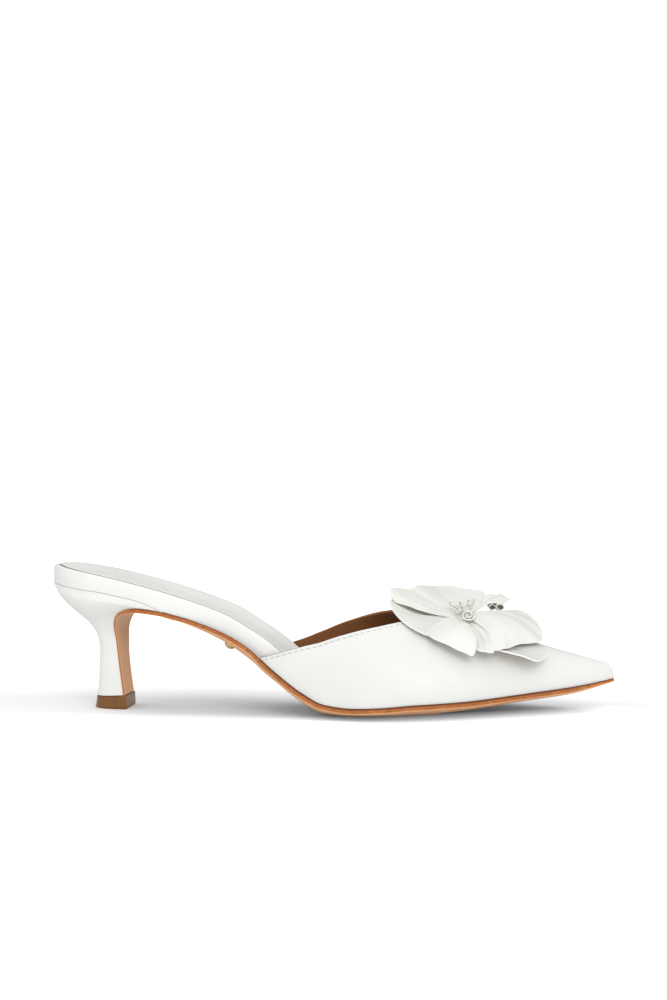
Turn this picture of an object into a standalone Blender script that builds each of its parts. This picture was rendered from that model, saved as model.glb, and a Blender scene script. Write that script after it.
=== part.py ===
"""A backless kitten-heel mule pump with a leather flower: right shoe, toe towards +X, outer side at -Y."""

import math

import bpy
import numpy as np

MM = 0.001

# Driving dimensions, in millimetres. X runs from the heel's back (0) to the toe's tip.
LENGTH = 258.0
HEEL_ROUND = 27.0
TOE_ROUND = 5.0
NOSE_ROUND = 3.2
TIP_SETBACK = 2.3
GAP = 0.3
UNDER_GAP = 0.45

# The upper: its wall, how far its lower edge tucks in under the foot and how soon, its corner and throat.
WALL = 1.6
FEATHER_INSET = 0.7
FEATHER_RISE = 1.2
TUCK_SHARE = 0.3
TUCK_WIDTH = 8.0
TUCK_TOE = 6.0
CORNER_X = 102.5
THROAT_X = 178.0
ARCH_POWER = 2.1
ARCH_ROUND = 1.75
FOOT_CROWD = 1.15
COLLAR_CROWD = 1.4

# The sole, which runs on down the heel's breast as a thinner flap.
SOLE_THICK = 2.1
SOLE_TOE_THICK = 1.1
SOLE_THIN_X = 232.0
SOLE_LEAST = 1.8
SOLE_INSET = -0.1
SOLE_TIP = 0.1
SOLE_CROWD = 0.8
SEAT_RUN = 1.6
FLAP_THICK = 0.7
FLAP_FROM_X = 33.0
FLAP_TO_X = 42.0
CROWN_POWER = 3.4

# The covered footbed, whose band shows behind the vamp and runs on inside it, and the padded sock.
BAND_INSET = 0.5
BACK_INSET = 1.2
BACK_CROWD = 1.7
HIDDEN_INSET = 3.1
BAND_END_X = 60.0
HIDDEN_X = 98.0
RIM_WIDTH = 1.7
RECESS = 1.3
DISH = 0.8
DISH_CROWN = 0.35
MEDIAL_RISE = 0.6
ARCH_RISE = 0.5
ARCH_X = 84.0
ARCH_WIDTH = 13.0
SOCK_THICK = 0.9

# The footbed's rounded edge: how far in, and how far below its face.
RIM_COLUMNS = ("inset", "drop")
RIM_STEPS = ((0.0, 0.9), (0.35, 0.2), (0.9, 0.0), (RIM_WIDTH, 0.0), (RIM_WIDTH, RECESS))

# How square the heel's section is behind, at the post and at the seat, and where the seat's back is.
POST_ROUND = 2.6
SEAT_ROUND = 4.5
SEAT_BACK = 1.2
SEAT_GROW = 0.1

# Sections along the shoe: x, half widths of the outline, height of the line where sole and upper meet,
# height of the footbed's rim, and how far the sole's middle hangs below its edges.
SECTION_COLUMNS = ("x", "lateral", "medial", "seam", "rim", "crown")
SECTIONS = (
    (0.0, 26.3, 25.8, 58.4, 68.1, 0.0),
    (8.0, 26.3, 25.8, 57.3, 66.2, 0.0),
    (15.0, 26.3, 25.8, 56.3, 64.7, 0.0),
    (27.0, 26.3, 25.8, 54.7, 62.3, 0.0),
    (38.0, 26.5, 25.5, 52.4, 59.8, 0.0),
    (45.0, 26.6, 25.3, 50.8, 58.0, 0.0),
    (51.0, 26.6, 24.7, 48.6, 56.5, 0.0),
    (57.0, 26.5, 23.9, 46.1, 54.8, 0.0),
    (70.0, 26.4, 22.2, 42.6, 50.8, 2.2),
    (85.0, 27.2, 20.6, 37.0, 45.2, 3.9),
    (97.0, 28.4, 19.8, 30.0, 38.4, 5.2),
    (104.0, 29.4, 19.9, 23.5, 34.0, 4.6),
    (110.0, 30.5, 20.2, 18.6, 29.2, 4.1),
    (120.0, 32.5, 21.6, 11.4, 20.8, 4.3),
    (130.0, 34.8, 24.0, 6.8, 14.0, 4.4),
    (142.0, 37.2, 27.8, 5.6, 10.6, 3.5),
    (155.0, 38.5, 32.5, 6.2, 9.9, 4.1),
    (170.0, 37.8, 36.4, 7.5, 11.2, 4.9),
    (190.0, 32.4, 35.0, 8.4, 12.5, 3.8),
    (215.0, 21.3, 25.0, 10.4, 14.2, 2.3),
    (240.0, 9.7, 12.0, 12.7, 16.2, 1.4),
    (258.0, 1.9, 1.9, 15.6, 18.6, 0.2),
)

# The last's top line above the middle of the foot.
LAST_COLUMNS = ("x", "top")
LAST = (
    (97.0, 82.0),
    (110.0, 73.5),
    (120.0, 68.0),
    (130.0, 62.5),
    (142.0, 56.5),
    (155.0, 51.0),
    (170.0, 45.9),
    (190.0, 40.6),
    (215.0, 33.8),
    (228.0, 29.8),
    (240.0, 26.5),
    (258.0, 21.6),
)

# The collar's height on each side, as a share of the last's height at that x.
COLLAR_COLUMNS = ("x", "lateral", "medial")
COLLAR = (
    (102.5, 0.03, 0.03),
    (110.0, 0.18, 0.18),
    (120.0, 0.351, 0.366),
    (130.0, 0.486, 0.531),
    (142.0, 0.626, 0.689),
    (154.0, 0.75, 0.832),
    (164.0, 0.853, 0.925),
    (178.0, 1.0, 1.0),
)

# Levels from the floor up: the back's x and z, the breast's x and z, half width.
LEVEL_COLUMNS = ("back_x", "back_z", "breast_x", "breast_z", "half_width")
TOP_PIECE = (
    (20.7, 0.0, 36.5, 0.0, 8.5),
    (20.3, 0.5, 36.9, 0.5, 8.9),
    (21.0, 5.4, 36.6, 6.1, 9.0),
)
HEEL = (
    (21.2, 5.7, 35.1, 6.4, 8.7),
    (22.0, 12.0, 34.4, 12.0, 8.7),
    (22.2, 19.0, 33.5, 19.0, 9.0),
    (22.5, 26.0, 32.8, 26.0, 9.7),
    (22.0, 31.8, 32.4, 32.4, 11.2),
    (20.5, 36.0, 32.1, 37.0, 13.4),
    (17.9, 39.7, 32.8, 40.9, 16.4),
    (14.6, 42.7, 34.5, 43.9, 19.4),
    (10.4, 46.2, 37.6, 46.0, 22.3),
    (6.2, 50.2, 42.4, 47.3, 24.4),
    (3.2, 54.0, 49.0, 47.2, 25.7),
    (1.8, 57.0, 56.6, 45.8, 26.2),
)

# The flower's petals, each a sheet drawn through its own net of points, given from the flower's middle on
# the upper. A row runs across the petal from its first edge to its last, and the rows run from foot to rim.
PETAL_NETS = {
    "side_left": (
        ((-1.9, 1.1, 1.9), (-2.2, 0.4, 1.8), (-2.2, -0.4, 1.6), (-1.8, -1.2, 1.3), (-1.1, -1.6, 1.1)),
        ((-11.3, 2.8, 3.9), (-11.9, -1.6, 3.75), (-11.5, -4.4, 2.9), (-9.7, -7.2, 1.5), (-7.1, -9.2, 0.2)),
        (
            (-22.3, 4.0, 6.4), (-23.7, -3.2, 5.6), (-22.1, -9.0, 4.2),
            (-18.1, -14.0, 1.5), (-12.5, -17.4, -2.3),
        ),
        (
            (-32.5, 4.8, 10.6), (-34.5, -5.0, 9.6), (-31.7, -13.8, 4.7),
            (-25.3, -21.0, 0.2), (-16.9, -24.4, -4.6),
        ),
    ),
    "between": (
        ((0.1, -2.0, 0.4), (0.5, -2.0, 0.6), (0.9, -1.9, 0.8), (1.6, -1.7, 0.9)),
        ((0.5, -8.4, -1.7), (2.6, -8.8, -2.1), (4.4, -8.8, -1.7), (6.4, -7.9, -1.2)),
        ((1.4, -16.6, -5.5), (5.6, -17.4, -6.3), (8.4, -17.6, -5.2), (10.0, -16.4, -4.6)),
        ((2.6, -24.0, -9.2), (6.2, -26.6, -10.2), (9.0, -28.0, -10.6), (10.6, -27.8, -10.9)),
    ),
    "low_right": (
        (
            (1.3, -1.7, 0.5), (1.5, -1.5, 0.6), (1.7, -1.2, 0.7),
            (1.8, -0.8, 1.1), (1.9, -0.4, 1.1), (2.0, 0.0, 1.1),
        ),
        (
            (6.2, -9.6, -3.6), (7.2, -9.2, -3.7), (8.6, -8.6, -3.7),
            (10.0, -7.4, -3.6), (11.4, -5.6, -3.4), (12.2, -3.0, -2.8),
        ),
        (
            (10.6, -17.6, -8.4), (13.2, -17.2, -8.5), (16.4, -16.6, -9.0),
            (20.0, -15.2, -9.8), (23.2, -11.0, -9.4), (24.8, -5.6, -8.2),
        ),
        (
            (13.8, -24.4, -10.2), (18.8, -24.2, -10.6), (24.2, -24.2, -12.4),
            (29.8, -22.4, -14.3), (34.6, -15.6, -13.0), (35.8, -8.0, -11.0),
        ),
    ),
    "back": (
        (
            (1.0, 1.8, 3.6), (0.2, 2.0, 3.7), (-0.7, 2.0, 3.6), (-1.3, 1.6, 3.5),
            (-1.7, 1.1, 3.3), (-2.0, 0.5, 3.1), (-2.1, -0.3, 2.9),
        ),
        (
            (5.4, 9.8, 5.6), (-0.3, 10.4, 5.7), (-4.4, 9.2, 6.0), (-7.6, 6.2, 6.1),
            (-9.4, 4.0, 5.8), (-10.8, 0.9, 5.4), (-11.2, -3.8, 3.6),
        ),
        (
            (8.6, 19.6, 8.5), (-1.4, 20.4, 9.6), (-9.2, 17.8, 10.2), (-15.0, 11.8, 10.2),
            (-17.8, 7.6, 9.4), (-22.2, 1.8, 9.6), (-22.6, -4.8, 7.0),
        ),
        (
            (9.3, 31.0, 12.8), (-3.0, 31.2, 14.3), (-14.4, 27.4, 15.3), (-23.0, 17.6, 15.5),
            (-27.0, 11.6, 14.2), (-33.4, 3.4, 15.7), (-34.6, -4.6, 10.4),
        ),
    ),
    "front": (
        ((-2.2, -0.6, 2.0), (-1.8, -1.2, 1.8), (-1.0, -1.7, 1.6), (-0.4, -2.1, 1.5), (0.1, -2.2, 1.4)),
        ((-8.6, -6.4, 2.9), (-6.4, -9.4, 1.7), (-3.6, -10.2, 1.0), (-1.4, -10.2, 0.5), (0.2, -9.8, -0.4)),
        (
            (-14.0, -15.4, 0.6), (-10.6, -18.6, -0.7), (-5.0, -20.4, -1.6),
            (0.0, -20.6, -2.9), (2.6, -19.6, -4.7),
        ),
        (
            (-18.6, -24.0, -3.2), (-13.0, -27.2, -5.0), (-6.4, -29.0, -8.0),
            (-1.4, -29.8, -10.0), (1.6, -29.8, -11.2),
        ),
    ),
    "right": (
        (
            (0.9, -2.0, 2.8), (1.4, -1.8, 3.2), (1.8, -1.3, 3.6), (2.0, -0.8, 3.9),
            (2.1, -0.2, 4.2), (2.1, 0.4, 4.4), (1.8, 1.0, 4.5),
        ),
        (
            (5.4, -9.0, 0.1), (7.8, -7.6, 2.4), (9.6, -5.6, 3.6), (10.8, -2.8, 4.4),
            (11.2, 0.0, 4.9), (10.4, 2.6, 5.3), (8.4, 4.4, 5.0),
        ),
        (
            (9.8, -17.6, -3.8), (13.6, -15.6, -1.4), (17.6, -12.0, -0.4), (21.6, -6.0, 0.8),
            (23.4, 0.8, 2.2), (21.4, 6.4, 4.3), (16.2, 9.6, 4.8),
        ),
        (
            (11.0, -27.4, -10.2), (17.0, -23.0, -8.9), (22.2, -16.0, -7.9), (30.2, -8.2, -7.7),
            (33.8, 0.6, -5.8), (31.4, 10.0, 0.8), (22.4, 14.2, 5.4),
        ),
    ),
    "rolled": (
        ((6.4, 10.4, 5.9), (9.6, 11.0, 7.9), (13.2, 11.4, 8.6), (16.8, 12.0, 7.2)),
        ((7.2, 14.2, 7.4), (10.4, 15.0, 9.0), (14.2, 15.4, 9.4), (18.0, 15.8, 8.0)),
        ((8.2, 19.0, 9.6), (11.8, 20.6, 10.4), (15.8, 20.8, 10.6), (19.4, 19.8, 8.9)),
        ((9.0, 23.6, 11.0), (13.2, 26.0, 11.4), (17.6, 25.6, 10.9), (20.6, 23.0, 9.3)),
    ),
}
FLOWER_X = 192.0
FLOWER_Y = -3.0
PETAL_THICK = 0.5
PETAL_FOOT = 0.14
PETAL_CORNER = 0.05
PETAL_ROWS = 6

# The rolled curls in the flower's middle: the open end's place and height, radius, length, azimuth, pitch.
CURL_COLUMNS = ("x", "y", "z", "radius", "length", "azimuth", "pitch")
CURLS = (
    (0.3, -9.2, 5.9, 2.3, 5.0, 268.0, 8.0),
    (-3.0, -2.6, 9.2, 1.4, 5.0, 215.0, 50.0),
    (-6.6, -4.6, 6.6, 1.2, 3.5, 200.0, 30.0),
    (3.4, 0.8, 10.4, 1.6, 5.0, 320.0, 60.0),
    (-8.0, 3.0, 9.6, 1.1, 5.5, 165.0, 35.0),
)
CURL_TURNS = 1.6
CURL_CORE = 0.42
CURL_WALL = 0.24

# A plain stud under the shank: where, how round, how high and its face's rings (share of radius, of height).
STUD_X = 86.0
STUD_Y = -7.0
STUD_RADIUS = 2.5
STUD_PROUD = 2.2
STUD_GAP = 0.5
STUD_RINGS = ((1.0, 0.0), (1.0, 0.55), (0.75, 0.95), (0.35, 1.0))

FINISHES = {
    "white_leather": ((0.90, 0.90, 0.88, 1.0), 0.0, 0.42),
    "flower_leather": ((0.82, 0.83, 0.80, 1.0), 0.0, 0.45),
    "sock_leather": ((0.80, 0.80, 0.78, 1.0), 0.0, 0.60),
    "sole_leather": ((0.56, 0.30, 0.15, 1.0), 0.0, 0.45),
    "lift": ((0.20, 0.10, 0.035, 1.0), 0.35, 0.30),
    "brass": ((0.80, 0.55, 0.22, 1.0), 1.0, 0.25),
}


def spline(xs, ys):
    """A smooth curve through the points, which never overshoots them."""
    xs = np.asarray(xs, float)
    ys = np.asarray(ys, float)
    steps = np.diff(xs)
    rates = np.diff(ys) / steps
    slopes = np.concatenate([rates[:1], np.zeros(len(xs) - 2), rates[-1:]])
    for i in range(1, len(xs) - 1):
        if rates[i - 1] * rates[i] > 0.0:
            slopes[i] = 2.0 / (1.0 / rates[i - 1] + 1.0 / rates[i])

    def at(x):
        x = min(max(x, xs[0]), xs[-1])
        i = min(int(np.searchsorted(xs, x, side="right")) - 1, len(steps) - 1)
        t = (x - xs[i]) / steps[i]
        rise = ys[i + 1] - ys[i]
        curved = slopes[i] * steps[i] * t * (1 - t) ** 2 - slopes[i + 1] * steps[i] * t * t * (1 - t)
        return float(ys[i] + rise * t * t * (3 - 2 * t) + curved)

    return at


def column(rows, names, along, wanted):
    """One named column of a table, as a smooth curve along another."""
    return spline([row[names.index(along)] for row in rows], [row[names.index(wanted)] for row in rows])


LATERAL = column(SECTIONS, SECTION_COLUMNS, "x", "lateral")
MEDIAL = column(SECTIONS, SECTION_COLUMNS, "x", "medial")
SEAM = column(SECTIONS, SECTION_COLUMNS, "x", "seam")
RIM = column(SECTIONS, SECTION_COLUMNS, "x", "rim")
CROWN = column(SECTIONS, SECTION_COLUMNS, "x", "crown")
LAST_TOP = column(LAST, LAST_COLUMNS, "x", "top")
COLLAR_LATERAL = column(COLLAR, COLLAR_COLUMNS, "x", "lateral")
COLLAR_MEDIAL = column(COLLAR, COLLAR_COLUMNS, "x", "medial")


def ease(share):
    """A quarter circle's height at this share of its radius."""
    left = 1.0 - min(max(share, 0.0), 1.0)
    return math.sqrt(1.0 - left * left)


def blend(x, start, end):
    """0 before start, 1 after end, and smooth between them."""
    t = min(max((x - start) / (end - start), 0.0), 1.0)
    return t * t * (3 - 2 * t)


def toe_end(inset):
    """Where the outline ends at the toe when it is drawn in by inset."""
    return LENGTH - TIP_SETBACK * inset


def half_width(x, side, inset=0.0, front=None, back=None):
    """The outline's half width on the side -1 (lateral) or 1 (medial), drawn in by inset."""
    front = toe_end(inset) if front is None else front
    back = inset if back is None else back
    width = (LATERAL(x) if side < 0 else MEDIAL(x)) - inset
    return max(width, 0.0) * ease((x - back) / (HEEL_ROUND - back)) * ease((front - x) / TOE_ROUND)


def sole_top(x, y):
    """The height of the sole's upper face."""
    share = min(abs(y) / max(half_width(x, math.copysign(1.0, y)), 0.1), 1.0)
    return max(SEAM(x) - CROWN(x) * (1.0 - share**CROWN_POWER), SOLE_LEAST)


def last_height(x, y):
    """The height of the upper's outer face over a point of the plan."""
    share = min(abs(y) / max(half_width(x, math.copysign(1.0, y)), 1e-6), 1.0)
    tall = (LAST_TOP(x) - SEAM(x)) * ease((LENGTH - x) / NOSE_ROUND)
    return SEAM(x) + UNDER_GAP + tall * (1.0 - share**ARCH_POWER) ** (1.0 / ARCH_ROUND)


def collar_point(x, side):
    """The collar's place in plan, where the last's wall has the collar's height."""
    height = COLLAR_LATERAL(x) if side < 0 else COLLAR_MEDIAL(x)
    share = max(1.0 - height**ARCH_ROUND, 0.0) ** (1.0 / ARCH_POWER)
    return np.array([x, side * share * half_width(x, side)])


# ---------------------------------------------------------------- meshes and objects


def finish(name):
    """The material of this name, made once."""
    if name in bpy.data.materials:
        return bpy.data.materials[name]
    colour, metallic, roughness = FINISHES[name]
    material = bpy.data.materials.new(name)
    material.use_nodes = True
    shader = material.node_tree.nodes["Principled BSDF"]
    shader.inputs["Base Color"].default_value = colour
    shader.inputs["Metallic"].default_value = metallic
    shader.inputs["Roughness"].default_value = roughness
    return material


def make_piece(name, points, faces, material, holder, sharp=40.0):
    """An object from points in millimetres, shaded smooth up to the sharp angle."""
    mesh = bpy.data.meshes.new(name)
    mesh.from_pydata([tuple(float(c) * MM for c in point) for point in points], [], faces)
    mesh.validate()
    mesh.shade_smooth()
    mesh.set_sharp_from_angle(angle=math.radians(sharp))
    mesh.materials.append(finish(material))
    piece = bpy.data.objects.new(name, mesh)
    piece.parent = holder
    bpy.context.scene.collection.objects.link(piece)
    return piece


def strip(first, second, closed=False):
    """Quads between two equal rows of point numbers."""
    count = len(first)
    last = count if closed else count - 1
    return [(first[i], first[(i + 1) % count], second[(i + 1) % count], second[i]) for i in range(last)]


def sheet_solid(outer, inner):
    """A closed wall between two grids of points with the same rows and columns."""
    rows, columns = outer.shape[:2]
    points = np.concatenate([outer.reshape(-1, 3), inner.reshape(-1, 3)])
    top = np.arange(rows * columns).reshape(rows, columns)
    low = top + rows * columns
    faces = []
    for i in range(rows - 1):
        faces += strip(top[i].tolist(), top[i + 1].tolist())
        faces += strip(low[i + 1].tolist(), low[i].tolist())
    faces += strip(low[0].tolist(), top[0].tolist())
    faces += strip(top[-1].tolist(), low[-1].tolist())
    faces += strip(top[:, 0].tolist(), low[:, 0].tolist())
    faces += strip(low[:, -1].tolist(), top[:, -1].tolist())
    return points, faces


def grid_normals(grid):
    """Unit normals of a grid of points, from its rows and columns."""
    normals = np.cross(np.gradient(grid, axis=1), np.gradient(grid, axis=0))
    return normals / np.maximum(np.linalg.norm(normals, axis=2, keepdims=True), 1e-9)


def face_outwards(points, faces):
    """The faces, all turned round if they enclose a negative volume."""
    points = np.asarray(points)
    volume = 0.0
    for face in faces:
        for second, third in zip(face[1:-1], face[2:]):
            volume += np.dot(points[face[0]], np.cross(points[second], points[third]))
    return faces if volume > 0 else [tuple(reversed(face)) for face in faces]


# ---------------------------------------------------------------- upper


def upper_grids(columns, rows):
    """The upper's outer and inner faces: a horseshoe of columns from the seam up to the collar."""
    lines = []
    for column_number in range(-columns, columns + 1):
        side = -1 if column_number < 0 else 1
        share = 1.0 - abs(column_number) / columns
        foot_x = CORNER_X + (LENGTH - CORNER_X) * math.sin(math.pi / 2 * share**FOOT_CROWD)
        crowded = 1.0 - (1.0 - share) ** COLLAR_CROWD
        collar_x = CORNER_X + (THROAT_X - CORNER_X) * math.sin(math.pi / 2 * crowded)
        foot = np.array([foot_x, side * half_width(foot_x, side)])
        collar = collar_point(collar_x, side)
        line = []
        for row in range(rows + 1):
            x, y = foot + (collar - foot) * (1.0 - math.cos(math.pi / 2 * row / rows))
            width = half_width(x, side)
            y = math.copysign(min(abs(y), width), side)
            z = last_height(x, y)
            low = max(1.0 - (z - SEAM(x)) / (TUCK_SHARE * (LAST_TOP(x) - SEAM(x))), 0.0)
            tuck = FEATHER_INSET * low * low * min(width / TUCK_WIDTH, 1.0)
            line.append((x - tuck * blend(x, LENGTH - TUCK_TOE, LENGTH), y - side * tuck, z))
        lines.append(line)
    outer = np.array(lines)
    inner = outer + WALL * grid_normals(outer)
    for i in range(len(outer)):
        inner[i, 0, 2] = max(sole_top(*inner[i, 0, :2]), outer[i, 0, 2] - FEATHER_RISE) + UNDER_GAP
    return outer, inner


def make_upper(holder):
    """The open-backed vamp: one wall from its feather edge to its collar."""
    outer, inner = upper_grids(columns=34, rows=11)
    points, faces = sheet_solid(outer, inner)
    make_piece("upper", points, face_outwards(points, faces), "white_leather", holder, 50.0)


# ---------------------------------------------------------------- footbed and sock


def footbed_inset(x):
    """The band shows almost at the outline behind the vamp, and runs on inside it."""
    return BAND_INSET + (HIDDEN_INSET - BAND_INSET) * blend(x, BAND_END_X, HIDDEN_X)


def plan_loop(extra, count):
    """Points round the footbed's outline, from the toe along the lateral side and back, drawn in by extra."""
    back = BACK_INSET + BACK_CROWD * extra
    front = toe_end(HIDDEN_INSET + extra)
    loop = []
    for i in range(2 * count):
        along = (1.0 + math.cos(math.pi * i / count)) / 2.0
        x = back + (front - back) * along
        side = -1 if i < count else 1
        width = half_width(x, side, footbed_inset(x) + extra, front, back)
        if i in (0, count):
            width = 0.0
        loop.append((x, side * width))
    return loop


def footbed_top(x, y):
    """The footbed's face, dished across between its edges, and a little higher at the arch of the foot."""
    share = min(max(y / max(half_width(x, math.copysign(1.0, y), footbed_inset(x)), 1.0), -1.0), 1.0)
    arched = MEDIAL_RISE + ARCH_RISE * math.exp(-(((x - ARCH_X) / ARCH_WIDTH) ** 2))
    rise = arched * ((1.0 + share) / 2.0) ** 2
    return RIM(x) + rise - (DISH + DISH_CROWN * CROWN(x)) * (1.0 - share * share)


def lens_faces(loop, cols, heights, points):
    """Faces across a loop whose point i faces point -i, with cols columns; it adds the points between."""
    count = len(loop) // 2
    rows = [[loop[0]] * (cols + 1)]
    for i in range(1, count):
        first = np.array(points[loop[i]])
        last = np.array(points[loop[2 * count - i]])
        row = [loop[i]]
        for k in range(1, cols):
            x, y = (first + (last - first) * k / cols)[:2]
            points.append((x, y, heights(x, y)))
            row.append(len(points) - 1)
        rows.append(row + [loop[2 * count - i]])
    rows.append([loop[count]] * (cols + 1))
    faces = []
    for first, second in zip(rows[:-1], rows[1:]):
        for k in range(cols):
            face = []
            for number in (first[k], second[k], second[k + 1], first[k + 1]):
                if number not in face:
                    face.append(number)
            faces.append(tuple(face))
    return faces


def stack_solid(layers, cols, low_heights, high_heights):
    """A closed solid from loops of points, the lowest first, closed across at both ends."""
    points = []
    loops = []
    for layer in layers:
        loops.append(list(range(len(points), len(points) + len(layer))))
        points += [tuple(point) for point in layer]
    faces = []
    for low, high in zip(loops[:-1], loops[1:]):
        faces += strip(low, high, closed=True)
    faces += [tuple(reversed(face)) for face in lens_faces(loops[0], cols, low_heights, points)]
    faces += lens_faces(loops[-1], cols, high_heights, points)
    return points, faces


def make_footbed(holder):
    """The covered footbed, with a rounded rim round the recess that the sock lies in."""

    def underside(x, y):
        return sole_top(x, y) + UNDER_GAP

    def recess(x, y):
        return footbed_top(x, y) - RECESS

    layers = [[(x, y, underside(x, y)) for x, y in plan_loop(0.0, 40)]]
    for inset, drop in RIM_STEPS:
        layers.append([(x, y, footbed_top(x, y) - drop) for x, y in plan_loop(inset, 40)])
    points, faces = stack_solid(layers, 4, underside, recess)
    make_piece("footbed", points, face_outwards(points, faces), "white_leather", holder)


def make_sock(holder):
    """The sock that lines the footbed's recess."""
    outline = plan_loop(RIM_WIDTH + GAP, 40)

    def underside(x, y):
        return footbed_top(x, y) - RECESS + GAP

    def face(x, y):
        return underside(x, y) + SOCK_THICK

    layers = [
        [(x, y, underside(x, y)) for x, y in outline],
        [(x, y, face(x, y)) for x, y in outline],
    ]
    points, faces = stack_solid(layers, 4, underside, face)
    make_piece("insole_sock", points, face_outwards(points, faces), "sock_leather", holder)


# ---------------------------------------------------------------- sole and heel


def outward_normals(path):
    """For points on a path from the toe to the heel's foot, the directions out of the sole."""
    heading = np.gradient(np.array(path), axis=0)
    heading /= np.linalg.norm(heading, axis=1, keepdims=True)
    return np.stack([-heading[:, 1], heading[:, 0]], axis=1)


def sole_path(stations):
    """The sole's rows from the toe back along the seam, then down the heel's breast.

    Each is the x and z of its upper face, both half widths, the thickness and the crown."""
    tip = LENGTH - SOLE_TIP
    seam_end = HEEL[-1][2] + SEAT_RUN
    rows = []
    for i in range(stations + 1):
        along = (1.0 - math.cos(math.pi / 2 * i / stations)) ** SOLE_CROWD
        x = tip - (tip - seam_end) * along
        lateral = half_width(x, -1, SOLE_INSET, LENGTH)
        medial = half_width(x, 1, SOLE_INSET, LENGTH)
        thick = SOLE_THICK + (SOLE_TOE_THICK - SOLE_THICK) * blend(x, SOLE_THIN_X, LENGTH + 4.0)
        rows.append((x, SEAM(x), lateral, medial, thick, CROWN(x)))
    breast = [(level[2], level[3]) for level in reversed(HEEL)]
    for level, (x, z), out in zip(reversed(HEEL), breast, outward_normals(breast)):
        thick = FLAP_THICK + (SOLE_THICK - FLAP_THICK) * blend(x, FLAP_FROM_X, FLAP_TO_X)
        medial = min(level[4], half_width(x, 1) + SEAT_GROW)
        rows.append((x + GAP * out[0], z + GAP * out[1], level[4], medial, thick, 0.0))
    return rows


def make_outsole(holder):
    """The sole from the toe to the heel's foot: a wall under the path of its upper face."""
    across = 10
    rows = sole_path(40)
    upper_face = []
    lower_face = []
    for (x, z, lateral, medial, thick, crown), out in zip(rows, outward_normals([row[:2] for row in rows])):
        high = []
        low = []
        for k in range(across + 1):
            share = 2.0 * k / across - 1.0
            y = share * (lateral if share < 0 else medial)
            top = max(z - crown * (1.0 - abs(share) ** CROWN_POWER), SOLE_LEAST if crown else z)
            high.append((x, y, top))
            low.append((x + thick * out[0], y, max(top + thick * out[1], 0.0)))
        upper_face.append(high)
        lower_face.append(low)
    points, faces = sheet_solid(np.array(upper_face), np.array(lower_face))
    make_piece("outsole", points, face_outwards(points, faces), "sole_leather", holder)


def heel_ring(level, roundness, count, breast_count):
    """A ring round the heel, flat at the breast and round behind, inside the outline: point i faces -i."""
    back_x, back_z, breast_x, breast_z, width = level
    half = [(0.0, width * i / breast_count) for i in range(breast_count)]
    for i in range(count + 1):
        share = math.sin(math.pi / 2 * i / count)
        half.append((share, width * math.sqrt(max(1.0 - share**roundness, 0.0))))
    lateral = [(breast_x + (back_x - breast_x) * s, -y, breast_z + (back_z - breast_z) * s) for s, y in half]
    medial = [(x, min(-y, half_width(x, 1) + SEAT_GROW), z) for x, y, z in lateral[1:-1]]
    return lateral + medial[::-1]


def slanted(level):
    """The height, over a point of the plan, of the plane through a level's back and breast."""
    back_x, back_z, breast_x, breast_z = level[:4]

    def height(x, y):
        return breast_z + (back_z - breast_z) * (x - breast_x) / (back_x - breast_x)

    return height


def make_heel(holder):
    """The covered heel, from its foot to the seat under the footbed."""
    rings = []
    for number, level in enumerate(HEEL):
        roundness = POST_ROUND + (SEAT_ROUND - POST_ROUND) * number / (len(HEEL) - 1)
        rings.append(heel_ring(level, roundness, 12, 4))
    breast_x, _, half = HEEL[-1][2:]
    seat = heel_ring((SEAT_BACK, 0.0, breast_x, 0.0, half + SEAT_GROW), SEAT_ROUND, 12, 4)
    rings.append([(x, y, sole_top(x, y)) for x, y, _ in seat])
    points, faces = stack_solid(rings, 4, slanted(HEEL[0]), sole_top)
    make_piece("heel", points, face_outwards(points, faces), "white_leather", holder)


def make_top_piece(holder):
    """The lift that the heel stands on, from its flat foot to its slanted top."""
    rings = [heel_ring(level, POST_ROUND, 10, 3) for level in TOP_PIECE]
    points, faces = stack_solid(rings, 2, slanted(TOP_PIECE[0]), slanted(TOP_PIECE[-1]))
    make_piece("top_piece", points, face_outwards(points, faces), "lift", holder)


def make_stud(holder):
    """A low domed disc on the sole's underside in the waist."""
    along = sole_top(STUD_X + 1.0, STUD_Y) - sole_top(STUD_X - 1.0, STUD_Y)
    across = sole_top(STUD_X, STUD_Y + 1.0) - sole_top(STUD_X, STUD_Y - 1.0)
    out = np.array([along / 2.0, across / 2.0, -1.0])
    out /= np.linalg.norm(out)
    beside = np.cross(out, (1.0, 0.0, 0.0))
    beside /= np.linalg.norm(beside)
    run = np.cross(beside, out)
    middle = np.array([STUD_X, STUD_Y, sole_top(STUD_X, STUD_Y)]) + (SOLE_THICK + STUD_GAP) * out
    sides = 16
    points = []
    faces = []
    for share, height in STUD_RINGS:
        for k in range(sides):
            turn = 2 * math.pi * k / sides
            round_it = STUD_RADIUS * share * (math.cos(turn) * run + math.sin(turn) * beside)
            points.append(middle + round_it + STUD_PROUD * height * out)
    for level in range(len(STUD_RINGS) - 1):
        first = list(range(level * sides, (level + 1) * sides))
        faces += strip(first, [number + sides for number in first], closed=True)
    faces.append(tuple(reversed(range(sides))))
    faces.append(tuple(range(len(points) - sides, len(points))))
    make_piece("shank_stud", points, face_outwards(points, faces), "brass", holder)


# ---------------------------------------------------------------- flower


def natural(values, at):
    """A natural cubic curve through evenly spaced values, at this place counted from 0."""
    count = len(values)
    inner = count - 2
    bend = np.zeros_like(values)
    system = 4.0 * np.eye(inner) + np.eye(inner, k=1) + np.eye(inner, k=-1)
    pull = 6.0 * (values[2:] - 2.0 * values[1:-1] + values[:-2])
    bend[1:-1] = np.linalg.solve(system, pull.reshape(inner, -1)).reshape(pull.shape)
    low = min(int(at), inner)
    after = at - low
    before = 1.0 - after
    curved = (before**3 - before) * bend[low] + (after**3 - after) * bend[low + 1]
    return before * values[low] + after * values[low + 1] + curved / 6.0


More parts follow.
